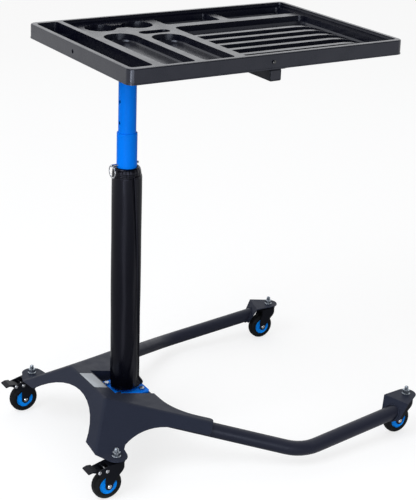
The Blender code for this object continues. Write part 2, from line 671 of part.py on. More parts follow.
def build_support():
    """Arms and straps under the tray."""
    top = support_top()
    arm_top = top - STRAP_SHEET - GAP
    arm_low = arm_top - ARM_HEIGHT
    half = ARM_WIDTH / 2
    skirt = TRAY_HALF - WALL - GAP
    left = CROSS_X - half
    side, plate = HEAD_PLATE
    head = rounded(-ARM_WIDTH, side / 2, -side / 2, side / 2, 0.008, 3)
    make("mast_head_plate", prism(head, arm_low - GAP - plate, arm_low - GAP), BLACK_COAT)
    make("main_arm", square_tube(ARM_LEFT, left - GAP, -half, half, arm_low, arm_top, "X"), BLACK_COAT)
    reach = skirt - 0.002
    make("cross_arm", square_tube(left, CROSS_X + half, -reach, reach, arm_low, arm_top, "Y"), BLACK_COAT)
    inset = ARM_WALL + GAP
    bore = rounded(left + inset, left + ARM_WIDTH - inset, arm_low + inset, arm_top - inset, 0.0018, 2)
    for name, ends in (("front", (-reach, PLUG_DEPTH - reach)), ("back", (reach - PLUG_DEPTH, reach))):
        make(name + "_arm_plug", loft([[(x, y, z) for x, z in bore] for y in ends]), TRAY_PLASTIC)
    flat = rounded(ARM_LEFT, left - 2 * GAP, -half - STRAP_EXTRA, half + STRAP_EXTRA, 0.004, 3)
    make("main_strap", prism(flat, top - STRAP_SHEET, top), BLACK_COAT)
    tall = top + TRAY_HEIGHT * 0.72
    within = skirt - STRAP_SHEET
    profile = [(-skirt, tall), (-skirt, top - STRAP_SHEET), (skirt, top - STRAP_SHEET), (skirt, tall)]
    profile += [(within, tall), (within, top), (-within, top), (-within, tall)]
    rings = [[(x, y, z) for y, z in profile] for x in (left, CROSS_X + half + STRAP_EXTRA)]
    strap = make("cross_strap", loft(rings), BLACK_COAT)
    apply_shape(strap, screw_drill())
    for name, way in (("front", -1), ("back", 1)):
        outside = way * (TRAY_HALF + TRAY_FLARE + GAP)
        shaft, head = SCREW_DIAMETER / 2, SCREW_HEAD / 2
        profile = [(head * 0.6, 0.0026), (head, 0.001), (head, 0), (shaft, 0), (shaft, -0.010)]
        spot = Matrix.Translation((SCREW_X, outside, skirt_middle()))
        outward = Matrix.Rotation(-way * math.pi / 2, 4, "X")
        make(name + "_tray_screw", moved(lathe(profile, 12), spot @ outward), ZINC)


def skirt_middle():
    """Height of the screws and hole in the tray's skirt."""
    return TRAY_TOP - TRAY_HEIGHT * 0.53


def screw_drill():
    """Cutter for the two tray screws."""
    if "screw_drill" in bpy.data.objects:
        return bpy.data.objects["screw_drill"]
    frame = Matrix.Translation((SCREW_X, 0, skirt_middle())) @ Matrix.Rotation(math.pi / 2, 4, "X")
    far, length = TRAY_HALF + 0.01, 0.022
    hole = SCREW_DIAMETER / 2 + GAP
    ends = [moved(rod(hole, 12, low, low + length), frame) for low in (-far, far - length)]
    return cutter("screw_drill", joined(ends))


def grown(outline_of, extra, heights):
    """Pocket shape from stations of (inset, height) made outward by extra and deeper by extra."""
    rings = []
    for inset, height in heights:
        rings.append(level(outline_of(inset - extra), height - (extra if height < TRAY_TOP - DECK_DEPTH else 0)))
    return loft(rings)


def dumbbell(inset):
    """Outline of the two cups and the neck between them."""
    radius = CUP_DIAMETER / 2 - inset
    half = CUP_NECK / 2 - inset
    neck = math.degrees(math.asin(half / radius))
    first, last = CUP_CENTRES
    right = arc((last, cup_row()), radius, neck - 180, 180 - neck, 14)
    return right + arc((first, cup_row()), radius, neck, 360 - neck, 14)


def cup_row():
    """Y of the cups' centres."""
    return TRAY_HALF - CUP_FROM_BACK


def bay_sides():
    """Left, right, front and back of the ribbed bay."""
    front = RIM + LEDGE[0] + 0.001 - TRAY_HALF
    return BAY_LEFT, TRAY_RIGHT - BAY_FROM_RIGHT, front, TRAY_HALF - BIN_FROM_BACK - BIN_TO_BAY


def pocket_list(extra):
    """Every hollow in the tray as a closed shape; extra thickens it outward for the underside."""
    deck = TRAY_TOP - DECK_DEPTH
    floor = TRAY_BOTTOM + WALL
    above = TRAY_TOP + 0.01
    left = TRAY_LEFT + RIM
    bay_left, bay_right, front, bay_back = bay_sides()

    def rectangle(x0, x1, y0, y1, radius, near=None):
        def outline(inset):
            corners = [max(size - inset, 0.002) for size in (radius, near or radius)]
            return rounded(x0 + inset, x1 - inset, y0 + inset, y1 - inset, corners[0], 4, corners[1])
        return outline

    steep = ((0, above), (0, deck), (0.0018, floor + 0.005), (0.006, floor))
    open_top = ((0, above), (0, TRAY_TOP - 0.002), (0.0025, floor + 0.004), (0.006, floor))
    curved = ((0, above), (0, deck), (0.002, floor + 0.005), (0.0045, floor + 0.0014), (0.010, floor))
    shapes = [(rectangle(left, left + TROUGH_WIDTH, front, -front, 0.010), open_top), (dumbbell, steep)]
    cup_front = cup_row() - CUP_DIAMETER / 2
    slot_front = cup_front - SLOT_TO_CUP - SLOT_WIDTH
    near, round_end = POCKET_FROM_FRONT - TRAY_HALF, POCKET_WIDTH / 2 - 0.002
    for x, rear in zip(POCKET_X, (cup_front - POCKET_TO_CUP, slot_front - SLOT_TO_POCKET)):
        pocket = rectangle(x, x + POCKET_WIDTH, near, rear, round_end, POCKET_CORNER)
        shapes.append((pocket, curved))
    x = POCKET_X[1]
    slot = rectangle(x, x + POCKET_WIDTH, slot_front, slot_front + SLOT_WIDTH, SLOT_WIDTH / 2 - 0.0005)
    shapes.append((slot, steep))
    for x0, x1 in ((bay_left, BIN_SPLIT[0]), (BIN_SPLIT[1], bay_right)):
        shapes.append((rectangle(x0, x1, bay_back + BIN_TO_BAY, -front, 0.010), steep))
    shapes.append((rectangle(bay_left, bay_right, front, bay_back, BAY_CORNER), steep))
    return [grown(outline, extra, heights) for outline, heights in shapes]


def rib_shapes():
    """Ribs that stand in the big bay: flat tops that curve down over a long ramp at the right."""
    floor = TRAY_BOTTOM + WALL
    crown = TRAY_TOP - DECK_DEPTH - 0.001
    x0, x1, front, rear = bay_sides()
    first = rear - RIB_FROM_BACK
    foot, head = RIB_WIDTH / 2, RIB_WIDTH / 2 - 0.003
    low = floor - 0.001
    ramp, drop = x1 - RIB_RAMP, crown - floor - 0.0005
    ends = [(x0 - 0.02, crown), (ramp, crown)]
    ends += [(ramp + (RIB_RAMP - 0.004) * share, crown - drop * share ** 1.9) for share in (0.3, 0.55, 0.78, 1.0)]
    ribs = []
    for k in range(int((first - front - foot - RIB_CLEAR) / RIB_PITCH) + 1):
        y = first - RIB_PITCH * k
        rings = [[(x, y - foot, low), (x, y + foot, low), (x, y + head, z), (x, y - head, z)] for x, z in ends]
        ribs.append(loft(rings))
    return ribs


def build_tray():
    """Moulded tray: rim, trough, cups, pockets and ribbed bay, hollow from below."""
    half = TRAY_HALF
    rings = []
    stations = ((TRAY_FLARE, TRAY_BOTTOM), (TRAY_FLARE, TRAY_BOTTOM + 0.003), (0.0005, TRAY_BOTTOM + 0.004),
                (0, TRAY_TOP - 0.003), (-0.0009, TRAY_TOP - 0.0009), (-0.003, TRAY_TOP))
    for out, height in stations:
        outline = rounded(TRAY_LEFT - out, TRAY_RIGHT + out, -half - out, half + out, TRAY_CORNER + out)
        rings.append(level(outline, height))
    tray = make("tray", loft(rings), TRAY_PLASTIC, (0, 0, COLUMN_TOP))

    deck_left = TRAY_LEFT + RIM + TROUGH_WIDTH + RIDGE
    deck_rings = []
    step, depth = LEDGE
    for inset, height in ((0, TRAY_TOP + 0.01), (0, TRAY_TOP - 0.002), (0.001, TRAY_TOP - depth),
                          (step, TRAY_TOP - depth), (step, TRAY_TOP - DECK_DEPTH)):
        sides = (deck_left + inset / 2, TRAY_RIGHT - RIM - inset, RIM + inset - half, half - RIM - inset)
        deck_rings.append(level(rounded(*sides, 0.010 - inset), height))
    apply_shape(tray, cutter("deck_cut", loft(deck_rings)))
    hollows = pocket_list(0)
    for k, shape in enumerate(hollows):
        tool = cutter("hollow_%d" % k, shape)
        if k == len(hollows) - 1:
            apply_shape(tool, cutter("ribs", joined(rib_shapes())))
        apply_shape(tray, tool)

    inner = rounded(TRAY_LEFT + WALL, TRAY_RIGHT - WALL, WALL - half, half - WALL, TRAY_CORNER - WALL)
    under = cutter("under_cut", prism(inner, TRAY_BOTTOM - 0.01, TRAY_TOP - DECK_DEPTH - WALL))
    apply_shape(under, cutter("kept_walls", joined(pocket_list(WALL))))
    apply_shape(tray, under)
    rings = []
    low, high = TRAY_BOTTOM + 0.01, TRAY_TOP - WALL
    for inset, height in ((WALL, low), (WALL, high), (RIM - WALL, high), (RIM - WALL, low)):
        sides = (TRAY_LEFT + inset, TRAY_RIGHT - inset, inset - half, half - inset)
        rings.append(level(rounded(*sides, TRAY_CORNER - inset), height))
    apply_shape(tray, cutter("rim_channel", band(rings)))
    apply_shape(tray, screw_drill())
    frame = Matrix.Translation((TRAY_LEFT, SKIRT_HOLE_Y, skirt_middle())) @ Matrix.Rotation(math.pi / 2, 4, "Y")
    apply_shape(tray, cutter("skirt_hole", moved(rod(SKIRT_HOLE / 2, 16, -0.004, 0.006), frame)))


def fork_outline(pedal, axle_height, crown):
    """Side view of a caster fork, in X from the swivel axis and height."""
    low = arc((-TRAIL, axle_height), FORK_EDGE, 180, 372, 8)
    front_edge = [(-0.002, crown - 0.034), (0.012, crown - 0.020), (FORK_NOSE, crown - 0.008), (FORK_NOSE, crown)]
    rear_edge = [(-0.030, crown), (-0.030, crown - 0.018)]
    if pedal:
        rear_edge = [(-0.022, crown), (-0.040, crown - 0.0040)]
        rear_edge += [(-CHEEK_END, crown - 0.0085), (-CHEEK_END, crown - 0.019)]
    return low + front_edge + rear_edge + [(-TRAIL - FORK_EDGE * 0.86, crown - 0.030)]


def build_caster(name, x, y, pedal):
    """Swivel head, stud, nut, fork, axle, wheel, tyre and, where there is one, the brake pedal."""
    under = MOUNT_HEIGHT - SHEET
    crown = under - HEAD_HEIGHT - 2 * GAP
    radius = WHEEL_DIAMETER / 2
    here = Matrix.Translation((x, y, 0))
    place = (x, y, crown)
    stud, head = STUD_DIAMETER / 2, HEAD_DIAMETER / 2
    tip = MOUNT_HEIGHT + STUD_RISE
    low = under - GAP - HEAD_HEIGHT
    profile = [(head, under - GAP), (head, under - 0.003), (head - 0.004, low + 0.001), (head - 0.005, low)]
    make(name + "_caster_head", moved(lathe(profile, 20), here), BLACK_COAT)
    profile = [(stud - 0.0018, tip), (stud, tip - 0.002), (stud, under)]
    make(name + "_caster_stud", moved(lathe(profile, 12), here), ZINC)
    bore, seat = stud + 2 * GAP, MOUNT_HEIGHT + GAP
    flange = NUT_ACROSS / 2 + 0.0025
    rings = [circle(bore, 12, seat), circle(flange, 12, seat), circle(flange, 12, seat + 0.0015)]
    rings += [hexagon(NUT_ACROSS, 12, seat + 0.0025), hexagon(NUT_ACROSS, 12, seat + NUT_HEIGHT - 0.001)]
    rings += [circle(NUT_ACROSS / 2 - 0.001, 12, seat + NUT_HEIGHT), circle(bore, 12, seat + NUT_HEIGHT)]
    make(name + "_caster_nut", moved(band(rings), here), ZINC)

    inside = WHEEL_WIDTH / 2 + 0.0012
    outside = inside + FORK_SHEET
    block = side_prism(fork_outline(pedal, radius, crown), outside)
    fork = make(name + "_fork", moved(block, here), BLACK_COAT, place)
    rear, roof, sky = -PEDAL_REACH, crown - FORK_SHEET, crown + 0.01
    slot = [(rear, -0.01), (-rear, -0.01), (-rear, roof)]
    slot += [(-PLATE_END, roof), (-PLATE_END, sky), (rear, sky)] if pedal else [(rear, roof)]
    apply_shape(fork, cutter(name + "_fork_slot", moved(side_prism(slot, inside), here)))
    bow = outside + 0.0004
    nose = arc((FORK_NOSE - outside, 0), bow, -90, 90, 10) + [(rear, bow), (rear, -bow)]
    apply_shape(fork, cutter(name + "_fork_nose", moved(prism(nose, -0.01, sky), here)), "INTERSECT")
    sideways = Matrix.Rotation(math.pi / 2, 4, "X")
    axle_frame = here @ Matrix.Translation((-TRAIL, 0, radius)) @ sideways
    shaft, far = AXLE_DIAMETER / 2, WHEEL_WIDTH
    pivot = (PEDAL_PIVOT[0], 0, crown + PEDAL_PIVOT[1])
    pivot_frame = here @ Matrix.Translation(pivot) @ sideways
    rivet_frame = here @ Matrix.Translation((BRAKE_RIVET[0], 0, crown + BRAKE_RIVET[1])) @ sideways
    drills = [moved(rod(shaft + GAP, 16, -far, far), axle_frame)]
    if pedal:
        hole = rod(PEDAL_PIN / 2 + GAP, 12, -far, far)
        drills += [moved(hole, pivot_frame), moved(hole, rivet_frame)]
    apply_shape(fork, cutter(name + "_fork_drill", joined(drills)))

    def rivet(size, head_size, dome, count):
        end, edge = outside + GAP, head_size / 2
        profile = [(edge * 0.58, end + dome), (edge, end + dome / 2), (edge, end), (size / 2, end)]
        return lathe(profile + [(r, -h) for r, h in profile[::-1]], count)

    hub = (x - TRAIL, y, radius)
    make(name + "_axle", moved(rivet(AXLE_DIAMETER, AXLE_HEAD, 0.0035, 14), axle_frame), ZINC, hub)
    bore, rim, half = shaft + RUN, DISC_DIAMETER / 2, WHEEL_WIDTH / 2
    profile = [(bore, half), (bore + 0.005, half), (bore + 0.006, half - 0.004), (rim - 0.003, half - 0.004),
               (rim - 0.001, half - 0.001), (rim, half - 0.001)]
    profile += [(r, -h) for r, h in profile[::-1]]
    make(name + "_wheel_disc", moved(lathe_hollow(profile, 20), axle_frame), WHEEL_PLASTIC, hub)
    bore = rim + GAP
    profile = [(bore, half - 0.0015), (bore + 0.002, half), (radius - 0.006, half)]
    profile += [(radius - 0.0018, half - 0.003), (radius, half - 0.0075)]
    profile += [(r, -h) for r, h in profile[::-1]]
    make(name + "_tyre", moved(lathe_hollow(profile, 28), axle_frame), RUBBER, hub)
    if not pedal:
        return
    pin = rivet(PEDAL_PIN, PIN_HEAD, 0.002, 12)
    make(name + "_pedal_pin", moved(pin, pivot_frame), ZINC, place)
    make(name + "_brake_rivet", moved(pin, rivet_frame), ZINC, place)
    narrow, wide = inside - GAP, PEDAL_WIDTH / 2
    # X from the swivel axis, half width, underside and top from the crown
    stations = ((-0.0455, narrow, -0.0155, -0.0090), (-CHEEK_END - 0.0016, narrow, -0.0152, -0.0060),
                (-CHEEK_END - 0.0026, wide, -0.0115, -0.0045), (-0.0720, wide, -0.0075, -0.0030),
                (-PEDAL_REACH + 0.002, wide, -0.0095, -0.0060), (-PEDAL_REACH, wide - 0.001, -0.0090, -0.0068))
    rings = []
    for along, side, low, high in stations:
        corners = ((-side, low), (side, low), (side, high), (-side, high))
        rings.append([(along, across, crown + rise) for across, rise in corners])
    lever = make(name + "_pedal", moved(loft(rings), here), BLACK_COAT, (x + pivot[0], y, pivot[2]))
    drill = rod(PEDAL_PIN / 2 + RUN, 12, -far, far)
    apply_shape(lever, cutter(name + "_pedal_drill", moved(drill, pivot_frame)))


build_base()
build_column()
build_mast()
build_support()
build_tray()
for caster in stem_positions():
    build_caster(*caster)
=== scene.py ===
"""Mobile workshop table: finishes, sewn sleeve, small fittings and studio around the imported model.

Lengths are in metres in the model's own frame: +Z up, +X along the tray away from the column, +Y to the back.
"""
import json
import math
from types import SimpleNamespace

import bmesh
import bpy
from bpy.props import FloatProperty, FloatVectorProperty, IntProperty, PointerProperty
from mathutils import Matrix, Vector

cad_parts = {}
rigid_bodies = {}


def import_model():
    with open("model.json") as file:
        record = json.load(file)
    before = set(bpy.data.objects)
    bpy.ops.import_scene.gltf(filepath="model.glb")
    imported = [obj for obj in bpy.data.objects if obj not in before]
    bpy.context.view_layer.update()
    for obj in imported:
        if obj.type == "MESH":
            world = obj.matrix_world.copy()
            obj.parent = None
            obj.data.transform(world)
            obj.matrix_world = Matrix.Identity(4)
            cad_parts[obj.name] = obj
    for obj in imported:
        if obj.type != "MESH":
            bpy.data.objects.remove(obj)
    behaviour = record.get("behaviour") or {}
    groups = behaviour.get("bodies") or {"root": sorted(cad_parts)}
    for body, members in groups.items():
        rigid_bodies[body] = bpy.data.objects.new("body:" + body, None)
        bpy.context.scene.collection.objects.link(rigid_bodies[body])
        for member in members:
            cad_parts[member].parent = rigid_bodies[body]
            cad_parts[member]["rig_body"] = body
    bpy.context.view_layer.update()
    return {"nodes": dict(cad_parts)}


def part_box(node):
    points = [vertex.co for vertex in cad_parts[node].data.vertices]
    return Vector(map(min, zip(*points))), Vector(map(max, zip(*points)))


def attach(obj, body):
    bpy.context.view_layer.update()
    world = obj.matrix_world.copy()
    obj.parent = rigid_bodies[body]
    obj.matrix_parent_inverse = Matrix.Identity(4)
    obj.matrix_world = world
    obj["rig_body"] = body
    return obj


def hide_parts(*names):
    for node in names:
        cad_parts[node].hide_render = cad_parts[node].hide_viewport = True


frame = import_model()

bl_info = {
    "name": "Mobile workshop table",
    "version": (1, 0, 0),
    "blender": (4, 5, 0),
    "location": "View3D > Sidebar > Workshop",
    "description": "Dresses the workshop table with its finishes, sleeve and fittings, and sets a studio",
    "category": "Object",
}

CASTERS = ("front_left", "back_left", "front_right", "back_right")
BRAKED = ("front_left", "back_left")
# Casts of the reflections on dark coats and on the sleeve.
COOL = (0.84, 0.88, 1.0)
VIOLET = (0.78, 0.79, 1.0)
# Facets that are joined, and faces that count as flat.
MERGE_WITHIN, FLAT_WITHIN = 0.00002, math.radians(0.4)
# Sheet folds that are rounded: least and most angle, least length, and steps of the rounding.
SLIGHTEST_FOLD, SHARPEST_FOLD, SHORTEST_FOLD, FOLD_STEPS = math.radians(12), math.radians(75), 0.12, 5


def colour_setting(name, description, default):
    """Colour that a user may change."""
    return FloatVectorProperty(name=name, description=description, default=default,
                               subtype="COLOR", size=3, min=0, max=1)


def length_setting(name, description, default):
    """Length that a user may change."""
    return FloatProperty(name=name, description=description, default=default,
                         unit="LENGTH", precision=4, min=0)


def angle_setting(name, description, degrees):
    """Direction round the column that a user may change."""
    return FloatProperty(name=name, description=description, default=math.radians(degrees), subtype="ANGLE")


def strength_setting(name, description, default):
    """Strength of a light that a user may change."""
    return FloatProperty(name=name, description=description, default=default, min=0)


def share_setting(name, description, default):
    """Share between 0 and 1 that a user may change."""
    return FloatProperty(name=name, description=description, default=default,
                         subtype="FACTOR", min=0, max=1)


def count_setting(name, description, least, default):
    """Count of points that a user may change."""
    return IntProperty(name=name, description=description, min=least, default=default)


class FinishSettings(bpy.types.PropertyGroup):
    """Colours of the finishes."""
    grey_coat: colour_setting("Grey coat", "Powder coat of the base", (0.0180, 0.0215, 0.0360))
    tube_coat: colour_setting("Tube coat", "Smoother coat of the outrigger tubes", (0.0140, 0.0155, 0.0265))
    blue_coat: colour_setting("Blue coat", "Powder coat of the column and mast", (0.0, 0.168, 0.775))
    black_coat: colour_setting("Black coat", "Coat of forks, pedals and arms", (0.0040, 0.0045, 0.0070))
    tray_plastic: colour_setting("Tray plastic", "Moulded tray", (0.0022, 0.0025, 0.0075))
    wheel_plastic: colour_setting("Wheel plastic", "Wheel centres", (0.002, 0.250, 0.820))
    rubber: colour_setting("Rubber", "Tyres", (0.0055, 0.0062, 0.0070))
    sleeve_cloth: colour_setting("Sleeve cloth", "Coated cloth of the sleeve", (0.0010, 0.0011, 0.0024))
    sewing_thread: colour_setting("Sewing thread", "Stitches of the sleeve", (0.012, 0.012, 0.014))
    dark_screw: colour_setting("Dark screw", "Blackened screws of the tray", (0.012, 0.012, 0.014))
    bright_steel: colour_setting("Bright steel", "Polished pins, axles and ring", (0.66, 0.67, 0.70))
    zinc: colour_setting("Zinc", "Plated bolts, nuts and studs", (0.38, 0.42, 0.47))
    label_foil: colour_setting("Label foil", "Blank label on the base", (0.43, 0.46, 0.50))


class SleeveSettings(bpy.types.PropertyGroup):
    """Form of the padded sleeve."""
    radius: length_setting("Radius", "Half the sleeve's width away from its lap", 0.0351)
    lap: length_setting("Lap", "Step where the cover closes over itself", 0.0030)
    gap: length_setting("Gap", "Depth of the gap beside the lap's edge", 0.0045)
    lap_top: angle_setting("Lap top", "Direction of the lap's edge at the collar", -88)
    lap_foot: angle_setting("Lap foot", "Direction of the lap's edge at the hem", -26)
    collar: length_setting("Collar", "Height of the gathered collar at the top", 0.013)
    tape: length_setting("Tape", "Height of the stitched tape under the collar", 0.009)
    stitch: length_setting("Stitch", "Length of one stitch", 0.0042)
    flare: length_setting("Flare", "How far the hem stands off on one side", 0.0115)
    flare_turn: angle_setting("Flare turn", "Direction in which the hem stands off", -24)
    sides: count_setting("Sides", "Points round the sleeve", 48, 240)
    rows: count_setting("Rows", "Points up the sleeve", 40, 150)
    lining: count_setting("Lining", "Rows of points down the inside", 12, 24)


class LabelSettings(bpy.types.PropertyGroup):
    """Size of the blank label."""
    width: length_setting("Width", "Across the slope", 0.086)
    height: length_setting("Height", "Down the slope", 0.0375)
    thickness: length_setting("Thickness", "Foil and backing", 0.0005)


class StageSettings(bpy.types.PropertyGroup):
    """Studio light."""
    ambient: strength_setting("Ambient", "Even light from all round", 0.68)
    key: strength_setting("Key", "Soft light from the upper left", 4.6)
    back: strength_setting("Back", "Soft light from behind, seen in the top faces", 0.22)
    front: strength_setting("Front", "Broad soft light beside the camera", 3.1)
    strip: strength_setting("Strip", "Low upright light, seen in rounded corners", 13.0)
    floor_shade: share_setting("Floor shade", "Share of the floor that takes shadow", 0.36)
    floor_glow: share_setting("Floor glow", "Rest of the floor's white", 0.685)


class TableSettings(bpy.types.PropertyGroup):
    """All settings of the workshop table."""
    finish: PointerProperty(type=FinishSettings)
    sleeve: PointerProperty(type=SleeveSettings)
    label: PointerProperty(type=LabelSettings)
    stage: PointerProperty(type=StageSettings)


def feed(tree, socket, value):
    """Links an output to a socket, or sets its value."""
    if isinstance(value, bpy.types.NodeSocket):
        tree.links.new(value, socket)
    else:
        socket.default_value = value


def combine(tree, operation, first, second):
    """Two values put together by a maths node."""
    node = tree.nodes.new("ShaderNodeMath")
    node.operation = operation
    feed(tree, node.inputs[0], first)
    feed(tree, node.inputs[1], second)
    return node.outputs["Value"]


def spread(tree, value, low, high, from_low=0.0, from_high=1.0):
    """Value taken to a new range and kept inside it."""
    node = tree.nodes.new("ShaderNodeMapRange")
    limits = {"From Min": from_low, "From Max": from_high, "To Min": low, "To Max": high}
    for name, number in limits.items():
        node.inputs[name].default_value = number
    feed(tree, node.inputs["Value"], value)
    return node.outputs["Result"]


class Finish:
    """One material's node tree, with short calls for the nodes that the finishes share."""

    def __init__(self, name, colour, roughness, metallic=0.0, specular=0.5, cast=(1, 1, 1)):
        self.material = bpy.data.materials.new(name)
        self.material.use_nodes = True
        self.tree = self.material.node_tree
        self.shader = self.tree.nodes["Principled BSDF"]
        self.colour = (*colour, 1)
        self.shader.inputs["Base Color"].default_value = self.colour
        self.shader.inputs["Roughness"].default_value = roughness
        self.shader.inputs["Metallic"].default_value = metallic
        self.shader.inputs["Specular IOR Level"].default_value = specular
        self.shader.inputs["Specular Tint"].default_value = (*cast, 1)
        self.place = self.add("ShaderNodeTexCoord").outputs["Object"]

    def add(self, kind, **inputs):
        """Node of a kind with values or links for its inputs."""
        node = self.tree.nodes.new(kind)
        for name, value in inputs.items():
            feed(self.tree, node.inputs[name.replace("_", " ")], value)
        return node

    def noise(self, scale, detail=3.0, stretch=(1, 1, 1)):
        """Noise value between 0 and 1; scale is in waves for each metre."""
        spot = self.add("ShaderNodeMapping", Vector=self.place, Scale=stretch).outputs["Vector"]
        return self.add("ShaderNodeTexNoise", Vector=spot, Scale=scale, Detail=detail).outputs["Fac"]

    def cells(self, scale):
        """Distance to the nearest cell middle, for pebbled grain."""
        return self.add("ShaderNodeTexVoronoi", Vector=self.place, Scale=scale).outputs["Distance"]

    def spread(self, value, low, high, from_low=0.0, from_high=1.0):
        """Value taken to a new range."""
        return spread(self.tree, value, low, high, from_low, from_high)

    def maths(self, operation, first, second):
        """Two values put together."""
        return combine(self.tree, operation, first, second)

    def mixed(self, share, low, high):
        """Colour between two colours."""
        node = self.tree.nodes.new("ShaderNodeMix")
        node.data_type = "RGBA"
        feed(self.tree, node.inputs[0], share)
        feed(self.tree, node.inputs[6], low)
        feed(self.tree, node.inputs[7], high)
        return node.outputs[2]

    def shade(self, factor):
        """The finish's own colour, lighter or darker."""
        return tuple(min(channel * factor, 1.0) for channel in self.colour[:3]) + (1,)

    def edge_wear(self):
        """Share of wear: up to 1 on outer edges, 0 on faces and in hollows."""
        node = self.add("ShaderNodeAmbientOcclusion", Distance=0.0012)
        node.inside = True
        node.samples = 6
        return self.spread(node.outputs["AO"], 1.0, 0.0, 0.35, 0.85)

    def tint(self, colour):
        """Sets the base colour from nodes."""
        feed(self.tree, self.shader.inputs["Base Color"], colour)

    def gloss(self, value):
        """Sets the roughness from nodes."""
        feed(self.tree, self.shader.inputs["Roughness"], value)

    def bump(self, height, strength, distance):
        """Raises the surface by a height value."""
        before = self.shader.inputs["Normal"]
        node = self.add("ShaderNodeBump", Height=height, Strength=strength, Distance=distance)
        if before.is_linked:
            self.tree.links.new(before.links[0].from_socket, node.inputs["Normal"])
        self.tree.links.new(node.outputs["Normal"], before)


def powder_coat(name, colour, roughness, grain, wear, specular=0.5, cast=(1, 1, 1)):
    """Sprayed and baked coat: fine peel, faint clouds of tone and thin edges."""
    finish = Finish(name, colour, roughness, specular=specular, cast=cast)
    cloud = finish.mixed(finish.noise(9.0), finish.shade(0.86), finish.shade(1.14))
    speck = finish.mixed(finish.spread(finish.noise(1400.0, 1.0), 0, 1, 0.58, 0.72), cloud, finish.shade(1.5))
    thin = finish.spread(finish.noise(160.0), 0.2, 1.0, 0.35, 0.65)
    worn = finish.maths("MULTIPLY", finish.edge_wear(), thin)
    finish.tint(finish.mixed(finish.maths("MULTIPLY", worn, wear), speck, finish.shade(6.0)))
    patch = finish.spread(finish.noise(34.0), roughness - 0.05, roughness + 0.05, 0.3, 0.7)
    finish.gloss(finish.maths("ADD", patch, finish.spread(finish.noise(900.0, 2.0), -0.05, 0.05)))
    finish.bump(finish.noise(620.0, 2.0), grain, 0.0004)
    finish.bump(finish.noise(2100.0, 1.0), grain * 0.6, 0.0001)
    return finish.material


def moulded_plastic(name, colour, roughness, grain, specular=0.5, wear=0.10, cast=(1, 1, 1)):
    """Moulded plastic: pebbled grain, slow flow marks and slightly rubbed edges."""
    finish = Finish(name, colour, roughness, specular=specular, cast=cast)
    flow = finish.noise(7.0, 4.0, (1.0, 2.2, 1.0))
    cloud = finish.mixed(flow, finish.shade(0.85), finish.shade(1.18))
    rubbed = finish.maths("MULTIPLY", finish.edge_wear(), wear)
    finish.tint(finish.mixed(rubbed, cloud, finish.shade(8.0)))
    finish.gloss(finish.spread(finish.noise(26.0), roughness - 0.05, roughness + 0.05, 0.3, 0.7))
    finish.bump(finish.cells(700.0), grain, 0.0003)
    finish.bump(finish.noise(30.0, 2.0), 0.03, 0.0008)
    return finish.material


def tyre_rubber(name, colour):
    """Rubber: dull, with a dusty bloom and fine pits."""
    finish = Finish(name, colour, 0.62, specular=0.15)
    bloom = finish.spread(finish.noise(70.0, 5.0), 0.0, 0.35, 0.48, 0.75)
    finish.tint(finish.mixed(bloom, finish.shade(0.9), finish.shade(4.0)))
    finish.gloss(finish.spread(finish.noise(220.0), 0.54, 0.74, 0.3, 0.7))
    finish.bump(finish.noise(1300.0, 3.0), 0.18, 0.0003)
    return finish.material


def bare_metal(name, colour, roughness, cloud):
    """Metal with slow clouds of tone and fine drawing marks."""
    finish = Finish(name, colour, roughness, 1.0)
    tone = finish.noise(130.0, 4.0)
    finish.tint(finish.mixed(tone, finish.shade(1 - cloud), finish.shade(1 + cloud * 0.7)))
    finish.gloss(finish.spread(finish.noise(420.0, 4.0), roughness * 0.7, roughness * 1.45, 0.3, 0.7))
    finish.bump(finish.noise(500.0, 2.0, (1, 1, 6)), 0.10, 0.0002)
    return finish.material


def coated_cloth(name, colour):
    """Coated woven cloth: a fine weave pressed into a soft shiny coat."""
    finish = Finish(name, colour, 0.21, specular=0.28, cast=VIOLET)
    around = finish.add("ShaderNodeUVMap").outputs["UV"]
    threads = []
    for direction in ("X", "Y"):
        wave = finish.add("ShaderNodeTexWave", Vector=around, Scale=190.0, Distortion=0.4)
        wave.bands_direction = direction
        threads.append(wave.outputs["Fac"])
    weave = finish.maths("MULTIPLY", *threads)
    tone = finish.mixed(finish.noise(18.0, 4.0), finish.shade(0.8), finish.shade(1.35))
    finish.tint(finish.mixed(finish.maths("MULTIPLY", weave, 0.35), tone, finish.shade(2.2)))
    finish.gloss(finish.spread(finish.noise(60.0, 4.0), 0.19, 0.24, 0.3, 0.7))
    finish.bump(weave, 0.07, 0.0003)
    finish.bump(finish.noise(46.0, 3.0, (1, 1, 0.35)), 0.10, 0.0012)
    return finish.material


def thread(name, colour):
    """Twisted sewing thread."""
    finish = Finish(name, colour, 0.62, specular=0.3)
    twist = finish.noise(2600.0, 2.0)
    finish.tint(finish.mixed(twist, finish.shade(0.6), finish.shade(1.6)))
    finish.bump(twist, 0.4, 0.0002)
    return finish.material


def label_foil(name, colour):
    """Blank satin foil with fine lines along its length."""
    finish = Finish(name, colour, 0.42, 0.25)
    lines = finish.noise(260.0, 3.0, (1, 0.05, 1))
    finish.tint(finish.mixed(lines, finish.shade(0.86), finish.shade(1.12)))
    finish.gloss(finish.spread(lines, 0.34, 0.52, 0.3, 0.7))
    finish.bump(lines, 0.06, 0.0001)
    return finish.material


def settings():
    """The scene's settings."""
    return bpy.context.scene.workshop_table


